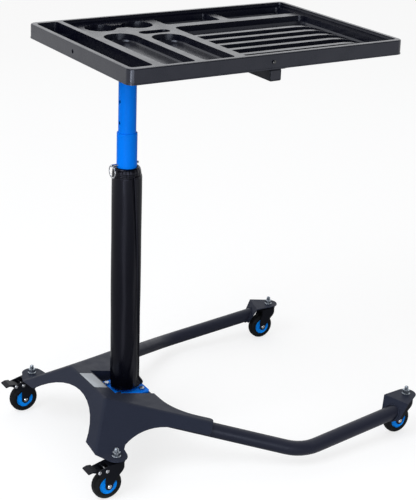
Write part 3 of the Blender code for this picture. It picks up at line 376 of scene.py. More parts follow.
RECIPES = {
    "grey_coat": (powder_coat, dict(roughness=0.46, grain=0.14, wear=0.12, specular=0.12, cast=COOL)),
    "tube_coat": (powder_coat, dict(roughness=0.38, grain=0.10, wear=0.12, specular=0.26, cast=COOL)),
    "blue_coat": (powder_coat, dict(roughness=0.42, grain=0.10, wear=0.03, specular=0.05)),
    "black_coat": (powder_coat, dict(roughness=0.36, grain=0.08, wear=0.20, specular=0.17, cast=COOL)),
    "tray_plastic": (moulded_plastic, dict(roughness=0.25, grain=0.005, wear=0.20, specular=0.58, cast=COOL)),
    "wheel_plastic": (moulded_plastic, dict(roughness=0.40, grain=0.05, wear=0.03, specular=0.10)),
    "dark_screw": (powder_coat, dict(roughness=0.18, grain=0.02, wear=0.10, specular=0.9)),
    "rubber": (tyre_rubber, {}),
    "sleeve_cloth": (coated_cloth, {}),
    "sewing_thread": (thread, {}),
    "zinc": (bare_metal, dict(roughness=0.26, cloud=0.22)),
    "bright_steel": (bare_metal, dict(roughness=0.18, cloud=0.06)),
    "label_foil": (label_foil, {}),
}
FINISHES = {}


def coat(name):
    """Material of a finish, made once and kept for the next piece."""
    if name not in FINISHES:
        recipe, values = RECIPES[name]
        FINISHES[name] = recipe("dressed_" + name, getattr(settings().finish, name), **values)
    return FINISHES[name]


def shape_group(name, build):
    """Geometry node group of a name, made once by a function that takes a shape and gives the new one."""
    if name in bpy.data.node_groups:
        return bpy.data.node_groups[name]
    group = bpy.data.node_groups.new(name, "GeometryNodeTree")
    for way in ("INPUT", "OUTPUT"):
        group.interface.new_socket("Geometry", in_out=way, socket_type="NodeSocketGeometry")
    first, last = group.nodes.new("NodeGroupInput"), group.nodes.new("NodeGroupOutput")
    group.links.new(build(group, first.outputs[0]), last.inputs[0])
    return group


def smooth_faces(group, shape):
    """Joins the facets' corners and drops their stored normals, so that faces shade smooth."""
    merge = group.nodes.new("GeometryNodeMergeByDistance")
    merge.inputs["Distance"].default_value = MERGE_WITHIN
    normal = group.nodes.new("GeometryNodeSetMeshNormal")
    normal.mode = "SHARPNESS"
    normal.inputs["Remove Custom"].default_value = True
    group.links.new(shape, merge.inputs["Geometry"])
    group.links.new(merge.outputs["Geometry"], normal.inputs["Mesh"])
    return normal.outputs["Mesh"]


def mark_folds(group, shape):
    """Marks long, outward sheet folds for rounding."""
    angle = group.nodes.new("GeometryNodeInputMeshEdgeAngle").outputs["Signed Angle"]
    ends = group.nodes.new("GeometryNodeInputMeshEdgeVertices").outputs
    span = group.nodes.new("ShaderNodeVectorMath")
    span.operation = "DISTANCE"
    for socket, name in zip(span.inputs, ("Position 1", "Position 2")):
        group.links.new(ends[name], socket)
    folded = combine(group, "GREATER_THAN", angle, SLIGHTEST_FOLD)
    open_edge = combine(group, "LESS_THAN", angle, SHARPEST_FOLD)
    lengthy = combine(group, "GREATER_THAN", span.outputs["Value"], SHORTEST_FOLD)
    marked = combine(group, "MULTIPLY", combine(group, "MULTIPLY", folded, open_edge), lengthy)
    store = group.nodes.new("GeometryNodeStoreNamedAttribute")
    store.data_type = "FLOAT"
    store.domain = "EDGE"
    store.inputs["Name"].default_value = "bevel_weight_edge"
    group.links.new(marked, store.inputs["Value"])
    group.links.new(shape, store.inputs["Geometry"])
    return store.outputs["Geometry"]


def dress(node, finish, edge, steps=2, angle=28, crease=0.0):
    """Gives a CAD node its finish, joins its facets, and rounds its edges and any sheet folds."""
    piece = frame["nodes"][node]
    for slot in piece.material_slots:
        slot.material = coat(finish)
    join = piece.modifiers.new("join_facets", "NODES")
    join.node_group = shape_group("smooth_faces", smooth_faces)
    flat = piece.modifiers.new("flat_faces", "DECIMATE")
    flat.decimate_type = "DISSOLVE"
    flat.angle_limit = FLAT_WITHIN
    if crease:
        mark = piece.modifiers.new("mark_folds", "NODES")
        mark.node_group = shape_group("mark_folds", mark_folds)
        bent = piece.modifiers.new("round_folds", "BEVEL")
        bent.limit_method = "WEIGHT"
        bent.width = crease
        bent.segments = FOLD_STEPS
        bent.use_clamp_overlap = False
    rounding = piece.modifiers.new("round_edges", "BEVEL")
    rounding.width = edge
    rounding.segments = steps
    rounding.limit_method = "ANGLE"
    rounding.angle_limit = math.radians(angle)
    rounding.use_clamp_overlap = True
    even = piece.modifiers.new("even_shading", "WEIGHTED_NORMAL")
    even.weight = 60


def object_from(name, work, material):
    """New object in the scene from a bmesh."""
    mesh = bpy.data.meshes.new(name)
    work.to_mesh(mesh)
    work.free()
    mesh.materials.append(material)
    made = bpy.data.objects.new(name, mesh)
    bpy.context.scene.collection.objects.link(made)
    return made


def piece_from(name, work, finish, body):
    """New piece of the table from a bmesh, riding on a body."""
    bmesh.ops.recalc_face_normals(work, faces=work.faces)
    piece = object_from(name, work, coat(finish))
    piece.data.shade_smooth()
    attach(piece, body)
    return piece


def rings_mesh(work, rings, closed_path=False):
    """Adds a skin through closed rings of points, with a cap at each end of an open path."""
    rows = [[work.verts.new(point) for point in ring] for ring in rings]
    count = len(rows[0])
    for k in range(len(rows) if closed_path else len(rows) - 1):
        here, there = rows[k], rows[(k + 1) % len(rows)]
        for i in range(count):
            work.faces.new((here[i], here[(i + 1) % count], there[(i + 1) % count], there[i]))
    if not closed_path:
        work.faces.new(rows[0])
        work.faces.new(rows[-1])
    return rows


def oval(spot, first, second, sides):
    """Closed ring of points round a spot, from two half axes."""
    turns = [2 * math.pi * i / sides for i in range(sides)]
    return [spot + first * math.cos(turn) + second * math.sin(turn) for turn in turns]


def ease(share):
    """Smooth step from 0 to 1."""
    share = min(max(share, 0), 1)
    return share * share * (3 - 2 * share)


def dent(offset, width):
    """Smooth bump: 1 in the middle and near 0 beyond twice the width."""
    return math.exp(-(offset / width) ** 2)


class TABLE_OT_coat_base(bpy.types.Operator):
    """Powder coat the folded cover, outriggers and caster brackets"""
    bl_idname = "workshop_table.coat_base"
    bl_label = "Coat the base"

    FOLD_ROUNDING = 0.006
    BRACKET_TURN = math.radians(16.8)
    WEB_SETBACK, WEB_LEAN, NEAR_WEB, FEWEST_POINTS = 0.0470, 0.5, 0.0012, 12
    RIM_SHARE = 0.85
    BEAD, RIPPLE, DRIFT, STANDOFF = 0.0021, 0.0004, 0.0002, 0.0006
    RIPPLES, DRIFTS = 34, 5
    BEAD_STEPS, BEAD_SIDES = 120, 8

    def execute(self, context):
        dress("base_cover", "grey_coat", edge=0.0008, steps=3, angle=40, crease=self.FOLD_ROUNDING)
        for side, way in (("front", 1), ("back", -1)):
            dress(side + "_outrigger_tube", "tube_coat", edge=0.0004, angle=45)
            dress(side + "_caster_bracket", "grey_coat", edge=0.0011, steps=3)
            self.weld_bead(side, way)
        return {"FINISHED"}

    def weld_bead(self, side, way):
        """Rippled bead round the tube's end, where it meets the bracket's leaning web."""
        out = Vector((math.cos(self.BRACKET_TURN), way * math.sin(self.BRACKET_TURN), 0))
        across = Vector((-out.y, out.x, 0))
        facing = across.cross(out * self.WEB_LEAN + Vector((0, 0, 1))).normalized()
        up = facing.cross(across)
        ends = self.tube_end(side, out, facing)
        middle = sum(ends, Vector()) / len(ends)
        rim = self.rim([spot - middle for spot in ends], across, up)
        back = facing * math.copysign(self.STANDOFF, facing.dot(out))
        rings = []
        for k in range(self.BEAD_STEPS):
            turn = -math.pi + 2 * math.pi * k / self.BEAD_STEPS
            ray = across * math.cos(turn) + up * math.sin(turn)
            spot = middle + ray * (self.reach(rim, turn) + self.STANDOFF) - back
            thick = self.BEAD + self.RIPPLE * math.sin(self.RIPPLES * turn)
            thick += self.DRIFT * math.sin(self.DRIFTS * turn + 1)
            rings.append(oval(spot, ray * thick, facing * thick, self.BEAD_SIDES))
        work = bmesh.new()
        rings_mesh(work, rings, closed_path=True)
        piece_from(side + "_weld_bead", work, "grey_coat", "base")

    def tube_end(self, side, out, facing):
        """Points of the outrigger tube that lie on the bracket's web."""
        low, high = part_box(side + "_right_caster_stud")
        stem = (low + high) / 2
        fold = Vector((stem.x, stem.y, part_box(side + "_caster_bracket")[1].z)) - out * self.WEB_SETBACK
        spots = [vertex.co for vertex in frame["nodes"][side + "_outrigger_tube"].data.vertices]
        ends = [spot for spot in spots if abs((spot - fold).dot(facing)) < self.NEAR_WEB]
        if len(ends) < self.FEWEST_POINTS:
            raise RuntimeError("the tube's end was not found at the bracket's web")
        return ends

    def rim(self, arms, across, up):
        """Directions and lengths of the tube end's outer points, once round and one past each way."""
        longest = {}
        for arm in arms:
            turn = round(math.atan2(arm.dot(up), arm.dot(across)), 2)
            longest[turn] = max(longest.get(turn, 0), arm.length)
        least = max(longest.values()) * self.RIM_SHARE
        found = sorted(item for item in longest.items() if item[1] > least)
        (first, start), (last, end) = found[0], found[-1]
        return [(last - 2 * math.pi, end)] + found + [(first + 2 * math.pi, start)]

    def reach(self, rim, turn):
        """Distance from the middle to the rim in a direction."""
        after = max(next(i for i, point in enumerate(rim) if point[0] >= turn), 1)
        (t0, r0), (t1, r1) = rim[after - 1], rim[after]
        return r0 + (r1 - r0) * (turn - t0) / (t1 - t0)


class TABLE_OT_coat_column(bpy.types.Operator):
    """Powder coat the flange, column tube and mast"""
    bl_idname = "workshop_table.coat_column"
    bl_label = "Coat the column"

    def execute(self, context):
        dress("column_flange", "blue_coat", edge=0.0008, steps=3)
        dress("column_tube", "blue_coat", edge=0.0004, angle=40)
        dress("mast_tube", "blue_coat", edge=0.0003, angle=40)
        return {"FINISHED"}


class TABLE_OT_mould_tray(bpy.types.Operator):
    """Give the tray its moulded plastic and soft edges"""
    bl_idname = "workshop_table.mould_tray"
    bl_label = "Mould the tray"

    def execute(self, context):
        dress("tray", "tray_plastic", edge=0.0018, steps=4, angle=25)
        return {"FINISHED"}


class TABLE_OT_coat_support(bpy.types.Operator):
    """Coat the arms and straps under the tray"""
    bl_idname = "workshop_table.coat_support"
    bl_label = "Coat the support"

    def execute(self, context):
        for node in ("mast_head_plate", "main_arm", "cross_arm", "main_strap", "cross_strap"):
            dress(node, "black_coat", edge=0.0004)
        for side in ("front", "back"):
            dress(side + "_arm_plug", "tray_plastic", edge=0.0004)
        return {"FINISHED"}


class TABLE_OT_fit_casters(bpy.types.Operator):
    """Finish forks, pedals, wheels and tyres"""
    bl_idname = "workshop_table.fit_casters"
    bl_label = "Fit the casters"

    def execute(self, context):
        for name in CASTERS:
            dress(name + "_fork", "black_coat", edge=0.0005, steps=3)
            dress(name + "_caster_head", "black_coat", edge=0.0004)
            dress(name + "_wheel_disc", "wheel_plastic", edge=0.0005, steps=3, angle=20)
            dress(name + "_tyre", "rubber", edge=0.0009, steps=3, angle=15)
        for name in BRAKED:
            dress(name + "_pedal", "black_coat", edge=0.0012, steps=3, angle=20)
        return {"FINISHED"}


class TABLE_OT_plate_hardware(bpy.types.Operator):
    """Finish the bolts, nuts, axles, screws, locking pin and its split ring"""
    bl_idname = "workshop_table.plate_hardware"
    bl_label = "Plate the hardware"

    PITCH, PITCH_STEPS, HALF_RIDGE, HALF_CREST = 0.00125, 24, 0.44, 0.15
    ROOT_DEPTH, CREST_HEIGHT, BARE_TIP = 0.0003, 0.0004, 0.0022
    WINDS, RING_STEPS, WIRE_SIDES, WIRE_SHARE = 2, 144, 12, 0.96
    CROSS_FROM, CROSS_LENGTH = 0.90, 0.20

    def execute(self, context):
        for name in CASTERS:
            dress(name + "_caster_nut", "zinc", edge=0.0004)
            dress(name + "_caster_stud", "zinc", edge=0.0002)
            dress(name + "_axle", "bright_steel", edge=0.0005, steps=3, angle=20)
            dress(name + "_flange_bolt", "zinc", edge=0.0004)
        for name in BRAKED:
            dress(name + "_pedal_pin", "bright_steel", edge=0.0004, steps=3, angle=20)
            dress(name + "_brake_rivet", "bright_steel", edge=0.0004, steps=3, angle=20)
        dress("locking_pin", "bright_steel", edge=0.0003)
        for side in ("front", "back"):
            dress(side + "_tray_screw", "dark_screw", edge=0.0003)
        for name in CASTERS:
            self.stud_thread(name)
        self.split_ring()
        return {"FINISHED"}

    def stud_thread(self, name):
        """Rolled thread on the part of a caster's stud that stands out of its nut."""
        low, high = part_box(name + "_caster_stud")
        axis, radius = (low + high) / 2, (high.x - low.x) / 2
        start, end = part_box(name + "_caster_nut")[1].z - self.PITCH, high.z - self.BARE_TIP
        steps = int((end - start) / self.PITCH * self.PITCH_STEPS)
        rise = Vector((0, 0, self.PITCH * self.HALF_RIDGE))
        top = rise * self.HALF_CREST
        rings = []
        for k in range(steps + 1):
            turn = 2 * math.pi * k / self.PITCH_STEPS
            out = Vector((math.cos(turn), math.sin(turn), 0))
            spot = Vector((axis.x, axis.y, start + (end - start) * k / steps))
            root, crest = spot + out * (radius - self.ROOT_DEPTH), spot + out * (radius + self.CREST_HEIGHT)
            rings.append([root - rise, crest - top, crest + top, root + rise])
        work = bmesh.new()
        rings_mesh(work, rings)
        body = frame["nodes"][name + "_caster_stud"]["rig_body"]
        ridge = piece_from(name + "_stud_thread", work, "zinc", body)
        ridge.data.set_sharp_from_angle(angle=math.radians(35))

    def split_ring(self):
        """Two turns of flat wire, side by side, with a step where they cross over."""
        low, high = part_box("pin_ring")
        centre = (low + high) / 2
        flat = (high.x - low.x) / 2
        wire = flat / 2
        mean = (high.z - low.z) / 2 - flat
        rings = []
        for k in range(self.RING_STEPS + 1):
            share = k / self.RING_STEPS * self.WINDS
            turn = 2 * math.pi * share - math.pi / 2
            out = Vector((0, math.cos(turn), math.sin(turn)))
            aside = (ease((share - self.CROSS_FROM) / self.CROSS_LENGTH) * 2 - 1) * wire
            spot = centre + out * mean + Vector((aside, 0, 0))
            rings.append(oval(spot, out * flat, Vector((wire * self.WIRE_SHARE, 0, 0)), self.WIRE_SIDES))
        work = bmesh.new()
        rings_mesh(work, rings)
        ring = piece_from("split_ring", work, "bright_steel", "pin_ring")
        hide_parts("pin_ring")


class Sleeve:
    """Form of the padded sleeve round the column."""

    CLEARANCE = 0.0004
    GAP_PLACE, GAP_WIDTH, LAP_START = 0.0030, 0.0023, 0.003
    SHOULDER, SHOULDER_SHARE, SHOULDER_EDGE = 0.020, 0.92, 0.004
    SEAM, GATHER, GATHERS, GATHER_WIDTH = 0.0011, 0.00045, 26, 0.010
    SWELL, CREASE, HEM_CREASE, HEM_CREASE_FADE = 0.0006, 0.00045, 0.0005, 0.12
    FLARE_WIDTH, FLARE_HEIGHT, FLARE_FADE = math.radians(22), 0.026, 0.021
    HEM_EDGE, HEM_LINE, HEM_LINE_DEPTH, HEM_LINE_WIDTH = 0.006, 0.010, 0.0006, 0.0009
    HEM_FOLD, HEM_LIFT, HEM_RISE = 0.0025, 0.001, 0.0012
    LIP_OUT, LIP_UP, LIP_DOWN = 0.002, 0.0004, 0.0015
    COLLAR_BAND, COLLAR_ROWS, ROW_GAP = 0.034, 40, 0.001
    STITCH_PITCH = 1.35
    LAP_STITCHES_IN, LAP_STITCHES_FROM, LAP_STITCHES_TO = 0.004, 0.014, 0.008
    THREAD, THREAD_SIDES, THREAD_STEPS, THREAD_RISE, THREAD_SINK = 0.00028, 5, 4, 0.00022, 0.00008

    def __init__(self, shape):
        values = {name: getattr(shape, name) for name in SleeveSettings.__annotations__}
        self.shape = SimpleNamespace(**values)
        low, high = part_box("column_tube")
        self.axis = Vector(((low.x + high.x) / 2, (low.y + high.y) / 2, 0))
        self.inner = (high.x - low.x) / 2 + self.CLEARANCE
        self.radius = shape.radius
        self.low, self.high = (corner.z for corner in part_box("column_sleeve"))

    def lap_turn(self, height):
        """Direction of the lap's edge, which winds a little round the column."""
        share = min(max((height - self.low) / (self.high - self.low), 0), 1)
        return self.shape.lap_foot + (self.shape.lap_top - self.shape.lap_foot) * share

    def past_lap(self, turn, height):
        """Share of the way round from the lap's edge, 0 to 1."""
        return ((turn - self.lap_turn(height) + 1e-6) / (2 * math.pi)) % 1.0

    def surface(self, turn, height):
        """Outer radius of the sleeve in a direction at a height."""
        radius = self.radius + self.closing(turn, height)
        radius += self.collar(turn, self.high - height)
        radius += self.creases(turn, height)
        return radius + self.hem(turn, height - self.low)

    def closing(self, turn, height):
        """Step and gap of the lap, which starts under the tape."""
        past = self.past_lap(turn, height)
        before = (1 - past) * 2 * math.pi * self.radius
        lapped = self.shape.lap * (1 - past) ** 1.5
        tucked = self.shape.gap * dent(before - self.GAP_PLACE, self.GAP_WIDTH)
        below_tape = self.high - height - self.shape.collar - self.shape.tape * 0.6
        return (lapped - tucked) * ease(below_tape / self.LAP_START)

    def collar(self, turn, below_top):
        """Rounded shoulder, seams of the tape and gathers of the collar."""
        shoulder = 1 - min(below_top / self.SHOULDER, 1)
        drawn = (self.radius - self.inner - self.SHOULDER_EDGE) * self.SHOULDER_SHARE
        change = -drawn * (1 - math.sqrt(max(1 - shoulder ** 2, 0)))
        for share in (0, 0.5, 1):
            line = self.shape.collar + self.shape.tape * share
            change -= self.SEAM * dent(below_top - line, self.SEAM)
        gather = dent(below_top - self.shape.collar * 0.9, self.GATHER_WIDTH)
        return change + self.GATHER * gather * math.sin(self.GATHERS * turn + 2 * math.sin(3 * turn))

    def creases(self, turn, height):
        """Slight swell of the padding and slow creases of the cloth."""
        above_low = height - self.low
        swell = math.sin(math.pi * min(above_low / (self.high - self.low), 1))
        slow = math.sin(3 * turn + 9 * height) * math.sin(17 * height + turn)
        near_hem = math.sin(61 * height + 5 * math.sin(2 * turn))
        near_hem *= math.exp(-above_low / self.HEM_CREASE_FADE)
        return self.SWELL * swell + self.CREASE * slow + self.HEM_CREASE * near_hem

    def hem(self, turn, above_low):
        """Corner that stands off at the foot, and the hem's sewn line."""
        corner = dent(self.wrapped(turn - self.shape.flare_turn), self.FLARE_WIDTH)
        stand = ease((self.FLARE_HEIGHT - above_low) / self.FLARE_FADE)
        stand *= 0.70 + 0.30 * ease(above_low / self.HEM_EDGE)
        sewn = self.HEM_LINE_DEPTH * dent(above_low - self.HEM_LINE, self.HEM_LINE_WIDTH)
        return self.shape.flare * corner * stand - sewn

    def wrapped(self, turn):
        """Angle between minus and plus half a turn."""
        return (turn + math.pi) % (2 * math.pi) - math.pi

    def spot(self, turn, radius, height):
        """Point round the column."""
        return self.axis + Vector((radius * math.cos(turn), radius * math.sin(turn), height))

    def turns(self, height):
        """Directions of the skin's points at a height, the first on the lap's edge."""
        first = self.lap_turn(height)
        return [first + 2 * math.pi * i / self.shape.sides for i in range(self.shape.sides)]

    def skin(self):
        """Closed skin: outside from hem to collar, over the lip and down the inside."""
        heights = [self.low + (self.high - self.low) * k / self.shape.rows for k in range(self.shape.rows)]
        start = self.high - self.COLLAR_BAND
        dense = [start + self.COLLAR_BAND * k / self.COLLAR_ROWS for k in range(self.COLLAR_ROWS + 1)]
        heights = [h for h in heights if h < start - self.ROW_GAP] + dense
        foot, head = (self.turns(height) for height in (self.low, self.high))
        rings = [[self.spot(t, self.inner, self.low + self.HEM_LIFT) for t in foot]]
        rings.append([self.spot(t, self.surface(t, self.low) - self.HEM_FOLD, self.low) for t in foot])
        for height in heights:
            lifted = max(height, self.low + self.HEM_RISE)
            turns = self.turns(lifted)
            rings.append([self.spot(t, self.surface(t, lifted), lifted) for t in turns])
        rings.append([self.spot(t, self.inner + self.LIP_OUT, self.high + self.LIP_UP) for t in head])
        rings.append([self.spot(t, self.inner, self.high - self.LIP_DOWN) for t in head])
        for k in range(1, self.shape.lining):
            height = self.high + (self.low - self.high) * k / self.shape.lining
            rings.append([self.spot(t, self.inner, height) for t in self.turns(height)])
        work = bmesh.new()
        rows = rings_mesh(work, rings, closed_path=True)
        cloth = work.loops.layers.uv.new("cloth")
        place = {vert: i for row in rows for i, vert in enumerate(row)}
        for face in work.faces:
            places = [place[loop.vert] for loop in face.loops]
            crosses = max(places) - min(places) > 1
            for loop, i in zip(face.loops, places):
                i = i + self.shape.sides if crosses and i == 0 else i
                along = 2 * math.pi * self.radius * i / self.shape.sides
                loop[cloth].uv = (along, loop.vert.co.z)
        sleeve = piece_from("padded_sleeve", work, "sleeve_cloth", "base")
        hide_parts("column_sleeve")

    def stitches(self):
        """Rows of thread along the tape and beside the lap's edge."""
        work = bmesh.new()
        round_length = 2 * math.pi * self.radius
        count = int(round_length / (self.shape.stitch * self.STITCH_PITCH))
        for share in (0.2, 0.8):
            height = self.high - (self.shape.collar + self.shape.tape * share)
            for k in range(count):
                turn = self.shape.lap_top + 2 * math.pi * k / count
                ends = [turn + way * self.shape.stitch / 2 / self.radius for way in (-1, 1)]
                self.stitch(work, [(t, height) for t in ends])
        start = self.low + self.LAP_STITCHES_FROM
        end = self.high - self.shape.collar - self.shape.tape - self.LAP_STITCHES_TO
        count = int((end - start) / (self.shape.stitch * self.STITCH_PITCH))
        for k in range(count):
            height = start + (end - start) * k / count
            beside = self.LAP_STITCHES_IN / self.radius
            ends = [(self.lap_turn(h) + beside, h) for h in (height, height + self.shape.stitch)]
            self.stitch(work, ends)
        piece_from("sleeve_stitches", work, "sewing_thread", "base")

    def stitch(self, work, ends):
        """One stitch: a thin thread that dips into the cloth at both ends."""
        level = abs(ends[0][1] - ends[1][1]) < 1e-9
        rings = []
        for k in range(self.THREAD_STEPS + 1):
            share = k / self.THREAD_STEPS
            turn = ends[0][0] + (ends[1][0] - ends[0][0]) * share
            height = ends[0][1] + (ends[1][1] - ends[0][1]) * share
            rise = self.THREAD_RISE * math.sin(math.pi * share) - self.THREAD_SINK
            radius = self.surface(turn, height) + rise
            ring = []
            for i in range(self.THREAD_SIDES):
                angle = 2 * math.pi * i / self.THREAD_SIDES
                out, across = self.THREAD * math.cos(angle), self.THREAD * math.sin(angle)
                shift = (0, across) if level else (across / self.radius, 0)
                ring.append(self.spot(turn + shift[0], radius + out, height + shift[1]))
            rings.append(ring)
        rings_mesh(work, rings)


class TABLE_OT_sew_sleeve(bpy.types.Operator):
    """Sew the padded sleeve round the column, with its lap, collar and stitches"""
    bl_idname = "workshop_table.sew_sleeve"
    bl_label = "Sew the sleeve"

    def execute(self, context):
        sleeve = Sleeve(settings().sleeve)
        sleeve.skin()
        sleeve.stitches()
        return {"FINISHED"}


class TABLE_OT_stick_label(bpy.types.Operator):
    """Stick the blank label on the cover's sloping top"""
    bl_idname = "workshop_table.stick_label"
    bl_label = "Stick the label"

    CREST = Vector((-0.34025, 0.0, 0.181))
    SLOPE = 0.2597
    FROM_CREST = 0.0028
    MIDDLE_Y = 0.007
    CORNER, CORNER_STEPS = 0.0025, 5
    OFF_COVER, SOFT_EDGE, UPRIGHT_SHARE = 0.0001, 0.0002, 0.7

    def execute(self, context):
        size = settings().label
        down = Vector((1, 0, -self.SLOPE)).normalized()
        up = Vector((self.SLOPE, 0, 1)).normalized()
        outline = []
        half = size.width / 2
        corners = ((size.height, half, 0), (0, half, 90), (0, -half, 180), (size.height, -half, 270))
        for along, side, start in corners:
            centre = (abs(along - self.CORNER), side - math.copysign(self.CORNER, side))
            for k in range(self.CORNER_STEPS + 1):
                angle = math.radians(start + 90 * k / self.CORNER_STEPS)
                outline.append((centre[0] + self.CORNER * math.cos(angle),
                                centre[1] + self.CORNER * math.sin(angle)))
        origin = self.CREST + down * self.FROM_CREST + Vector((0, self.MIDDLE_Y, 0))
        work = bmesh.new()
        levels = ((0, self.OFF_COVER), (0, size.thickness * self.UPRIGHT_SHARE),
                  (self.SOFT_EDGE, size.thickness))
        rings = []
        for inset, lift in levels:
            ring = []
            for along, side in outline:
                along = along + (inset if along < size.height / 2 else -inset)
                side = side - math.copysign(inset, side)
                ring.append(origin + down * along + Vector((0, side, 0)) + up * lift)
            rings.append(ring)
        rings_mesh(work, rings)
        label = piece_from("blank_label", work, "label_foil", "base")
        label.data.set_sharp_from_angle(angle=math.radians(40))
        return {"FINISHED"}


class TABLE_OT_set_stage(bpy.types.Operator):
    """Pale floor, soft light and the camera at the photograph's angle"""
    bl_idname = "workshop_table.set_stage"
    bl_label = "Set the stage"

    POSITION = Vector((-1.61925, -2.5525, 1.6937))
    TURN, PITCH, ROLL = math.radians(-32.363), math.radians(21.902), math.radians(-2.146)
    FOCAL_PIXELS, PICTURE = 1262.604, (416, 500)
    CENTRE = (205.131, 249.954)
    LAMP_COLOUR = (0.90, 0.94, 1.0)
    BARE_FROM, BARE_TO = 1.5, 4.0
    STREAK_WAY, SHEEN_WAY = math.radians(-129), math.radians(-38)
    FAN_CORE, FAN_EDGE, SHEEN_SHARE = 0.10, 0.30, 0.55
    DIMMEST, DIMS_OVER = 0.15, 0.35
    FLOOR_HALF = 30

    def execute(self, context):
        self.floor()
        self.sky()
        self.lamps()
        self.camera()
        context.scene.view_settings.view_transform = "Standard"
        return {"FINISHED"}

    def shown(self, tree, far):
        """Share of rays that see the bare backdrop: camera rays, and mirrored ones by a given share."""
        rays = tree.nodes.new("ShaderNodeLightPath").outputs
        mirrored = combine(tree, "MAXIMUM", rays["Is Glossy Ray"], rays["Is Transmission Ray"])
        return combine(tree, "MAXIMUM", rays["Is Camera Ray"], combine(tree, "MULTIPLY", mirrored, far))

    def measure(self, tree, place, operation, axis=None):
        """Length of a vector, or its part along an axis."""
        node = tree.nodes.new("ShaderNodeVectorMath")
        node.operation = operation
        tree.links.new(place, node.inputs[0])
        if axis:
            node.inputs[1].default_value = axis
        return node.outputs["Value"]

    def distance(self, tree):
        """Share of the floor that is bare: 0 by the table and 1 far from it."""
        place = tree.nodes.new("ShaderNodeNewGeometry").outputs["Position"]
        return spread(tree, self.measure(tree, place, "LENGTH"), 0, 1, self.BARE_FROM, self.BARE_TO)

    def fan(self, tree, way):
        """Share of a fan of floor that spreads out from the column in a direction."""
        low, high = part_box("column_tube")
        foot = (low + high) / 2
        place = tree.nodes.new("ShaderNodeNewGeometry").outputs["Position"]
        parts = []
        ahead = Vector((math.cos(way), math.sin(way), 0))
        for axis in (ahead, Vector((-ahead.y, ahead.x, 0))):
            part = self.measure(tree, place, "DOT_PRODUCT", axis)
            parts.append(combine(tree, "SUBTRACT", part, foot.dot(axis)))
        slope = combine(tree, "DIVIDE", combine(tree, "ABSOLUTE", parts[1], 0.0), parts[0])
        share = spread(tree, slope, 0, 1, self.FAN_EDGE, self.FAN_CORE)
        return combine(tree, "MULTIPLY", share, combine(tree, "GREATER_THAN", parts[0], 0.0))

    def behind(self, tree):
        """Share that grows from the camera's side of the surround to the side behind the table."""
        way = tree.nodes.new("ShaderNodeTexCoord").outputs["Generated"]
        away = Vector((-math.sin(self.TURN), math.cos(self.TURN), 0))
        depth = self.measure(tree, way, "DOT_PRODUCT", away)
        return spread(tree, depth, self.DIMMEST, 1, -self.DIMS_OVER, self.DIMS_OVER)

    def floor(self):
        """Level white floor that keeps a soft shadow; in mirrors only its far part and two fans are white."""
        white = bpy.data.materials.new("studio_floor")
        white.use_nodes = True
        tree = white.node_tree
        tree.nodes.clear()
        lit = tree.nodes.new("ShaderNodeBsdfDiffuse")
        lit.inputs["Color"].default_value = (*[settings().stage.floor_shade] * 3, 1)
        glow = tree.nodes.new("ShaderNodeEmission")
        sheen = combine(tree, "MULTIPLY", self.fan(tree, self.SHEEN_WAY), self.SHEEN_SHARE)
        near = combine(tree, "MAXIMUM", self.fan(tree, self.STREAK_WAY), sheen)
        seen = self.shown(tree, combine(tree, "MAXIMUM", self.distance(tree), near))
        feed(tree, glow.inputs["Strength"], combine(tree, "MULTIPLY", seen, settings().stage.floor_glow))
        both = tree.nodes.new("ShaderNodeAddShader")
        tree.links.new(lit.outputs["BSDF"], both.inputs[0])
        tree.links.new(glow.outputs["Emission"], both.inputs[1])
        out = tree.nodes.new("ShaderNodeOutputMaterial")
        tree.links.new(both.outputs["Shader"], out.inputs["Surface"])
        work = bmesh.new()
        bmesh.ops.create_grid(work, x_segments=8, y_segments=8, size=self.FLOOR_HALF)
        floor = object_from("studio_floor", work, white)

    def sky(self):
        """Even surround: white where it shows, lower where it lights, dim in mirrors of the camera's side."""
        world = bpy.data.worlds.new("studio")
        world.use_nodes = True
        tree = world.node_tree
        back = tree.nodes["Background"]
        back.inputs["Color"].default_value = (1, 1, 1, 1)
        behind = self.behind(tree)
        level = spread(tree, self.shown(tree, behind), settings().stage.ambient, 1)
        mirrored = tree.nodes.new("ShaderNodeLightPath").outputs["Is Glossy Ray"]
        kept = combine(tree, "MAXIMUM", combine(tree, "SUBTRACT", 1.0, mirrored), behind)
        feed(tree, back.inputs["Strength"], combine(tree, "MULTIPLY", level, kept))
        bpy.context.scene.world = world

    def lamp(self, name, place, target, size, strength):
        """Rectangular soft light of a given radiance."""
        light = bpy.data.lights.new(name, "AREA")
        light.shape = "RECTANGLE"
        light.size, light.size_y = size
        light.energy = strength * math.pi * size[0] * size[1]
        light.color = self.LAMP_COLOUR
        lamp = bpy.data.objects.new(name, light)
        lamp.location = place
        way = Vector(target) - Vector(place)
        lamp.rotation_euler = way.to_track_quat("-Z", "Y").to_euler()
        bpy.context.scene.collection.objects.link(lamp)

    def lamps(self):
        """Upper left key, back light, broad front light and a low upright strip."""
        stage = settings().stage
        self.lamp("key_light", (-2.6, -0.6, 3.2), (0, 0, 0.5), (2.0, 2.0), stage.key)
        self.lamp("back_light", (1.8, 3.0, 2.2), (0, 0, 0.9), (3.4, 1.8), stage.back)
        self.lamp("front_light", (-2.0, -3.4, 1.15), (-0.25, 0, 0.7), (2.6, 1.8), stage.front)
        self.lamp("strip_light", (-2.3, -1.75, 0.42), (-0.18, -0.12, 0.5), (0.32, 0.80), stage.strip)

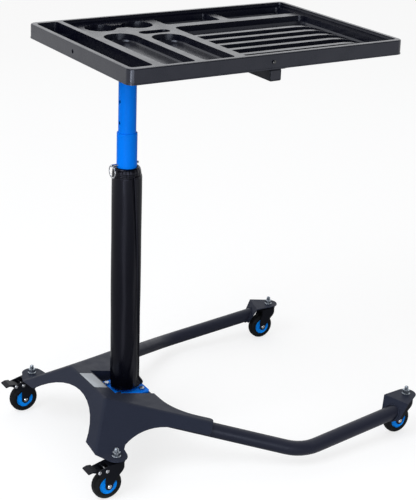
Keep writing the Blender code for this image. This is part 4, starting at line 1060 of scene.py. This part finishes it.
    def camera(self):
        """Camera fitted to the photograph."""
        level = math.cos(self.PITCH)
        forward = Vector((-math.sin(self.TURN) * level, math.cos(self.TURN) * level, -math.sin(self.PITCH)))
        right = Vector((math.cos(self.TURN), math.sin(self.TURN), 0))
        down = forward.cross(right)
        across = right * math.cos(self.ROLL) + down * math.sin(self.ROLL)
        lower = -right * math.sin(self.ROLL) + down * math.cos(self.ROLL)
        lens = bpy.data.cameras.new("camera")
        lens.sensor_fit = "VERTICAL"
        lens.sensor_height = 36
        wide, high = self.PICTURE
        lens.lens = self.FOCAL_PIXELS * lens.sensor_height / high
        lens.shift_x = (wide / 2 - self.CENTRE[0]) / high
        lens.shift_y = -(high / 2 - self.CENTRE[1]) / high
        camera = bpy.data.objects.new("camera", lens)
        turned = Matrix((across, -lower, -forward)).transposed().to_4x4()
        camera.matrix_world = Matrix.Translation(self.POSITION) @ turned
        bpy.context.scene.collection.objects.link(camera)
        bpy.context.scene.camera = camera


STEPS = (
    TABLE_OT_coat_base,
    TABLE_OT_coat_column,
    TABLE_OT_mould_tray,
    TABLE_OT_coat_support,
    TABLE_OT_fit_casters,
    TABLE_OT_plate_hardware,
    TABLE_OT_sew_sleeve,
    TABLE_OT_stick_label,
    TABLE_OT_set_stage,
)


class TABLE_PT_workshop(bpy.types.Panel):
    """Lists the table's steps and settings"""
    bl_idname = "TABLE_PT_workshop"
    bl_label = "Workshop table"
    bl_space_type = "VIEW_3D"
    bl_region_type = "UI"
    bl_category = "Workshop"

    def draw(self, context):
        for step in STEPS:
            self.layout.operator(step.bl_idname)
        for group in (settings().finish, settings().sleeve, settings().label, settings().stage):
            box = self.layout.box()
            for name in group.__annotations__:
                box.prop(group, name)


GROUPS = (FinishSettings, SleeveSettings, LabelSettings, StageSettings, TableSettings)
CLASSES = GROUPS + STEPS + (TABLE_PT_workshop,)


def register():
    """Adds the classes and the scene's settings."""
    for each in CLASSES:
        bpy.utils.register_class(each)
    bpy.types.Scene.workshop_table = PointerProperty(type=TableSettings)


def unregister():
    """Takes them away again."""
    del bpy.types.Scene.workshop_table
    for each in reversed(CLASSES):
        bpy.utils.unregister_class(each)


def main():
    """Builds the whole scene."""
    register()
    bpy.ops.workshop_table.coat_base()
    bpy.ops.workshop_table.coat_column()
    bpy.ops.workshop_table.mould_tray()
    bpy.ops.workshop_table.coat_support()
    bpy.ops.workshop_table.fit_casters()
    bpy.ops.workshop_table.plate_hardware()
    bpy.ops.workshop_table.sew_sleeve()
    bpy.ops.workshop_table.stick_label()
    bpy.ops.workshop_table.set_stage()


if __name__ == "__main__":
    main()
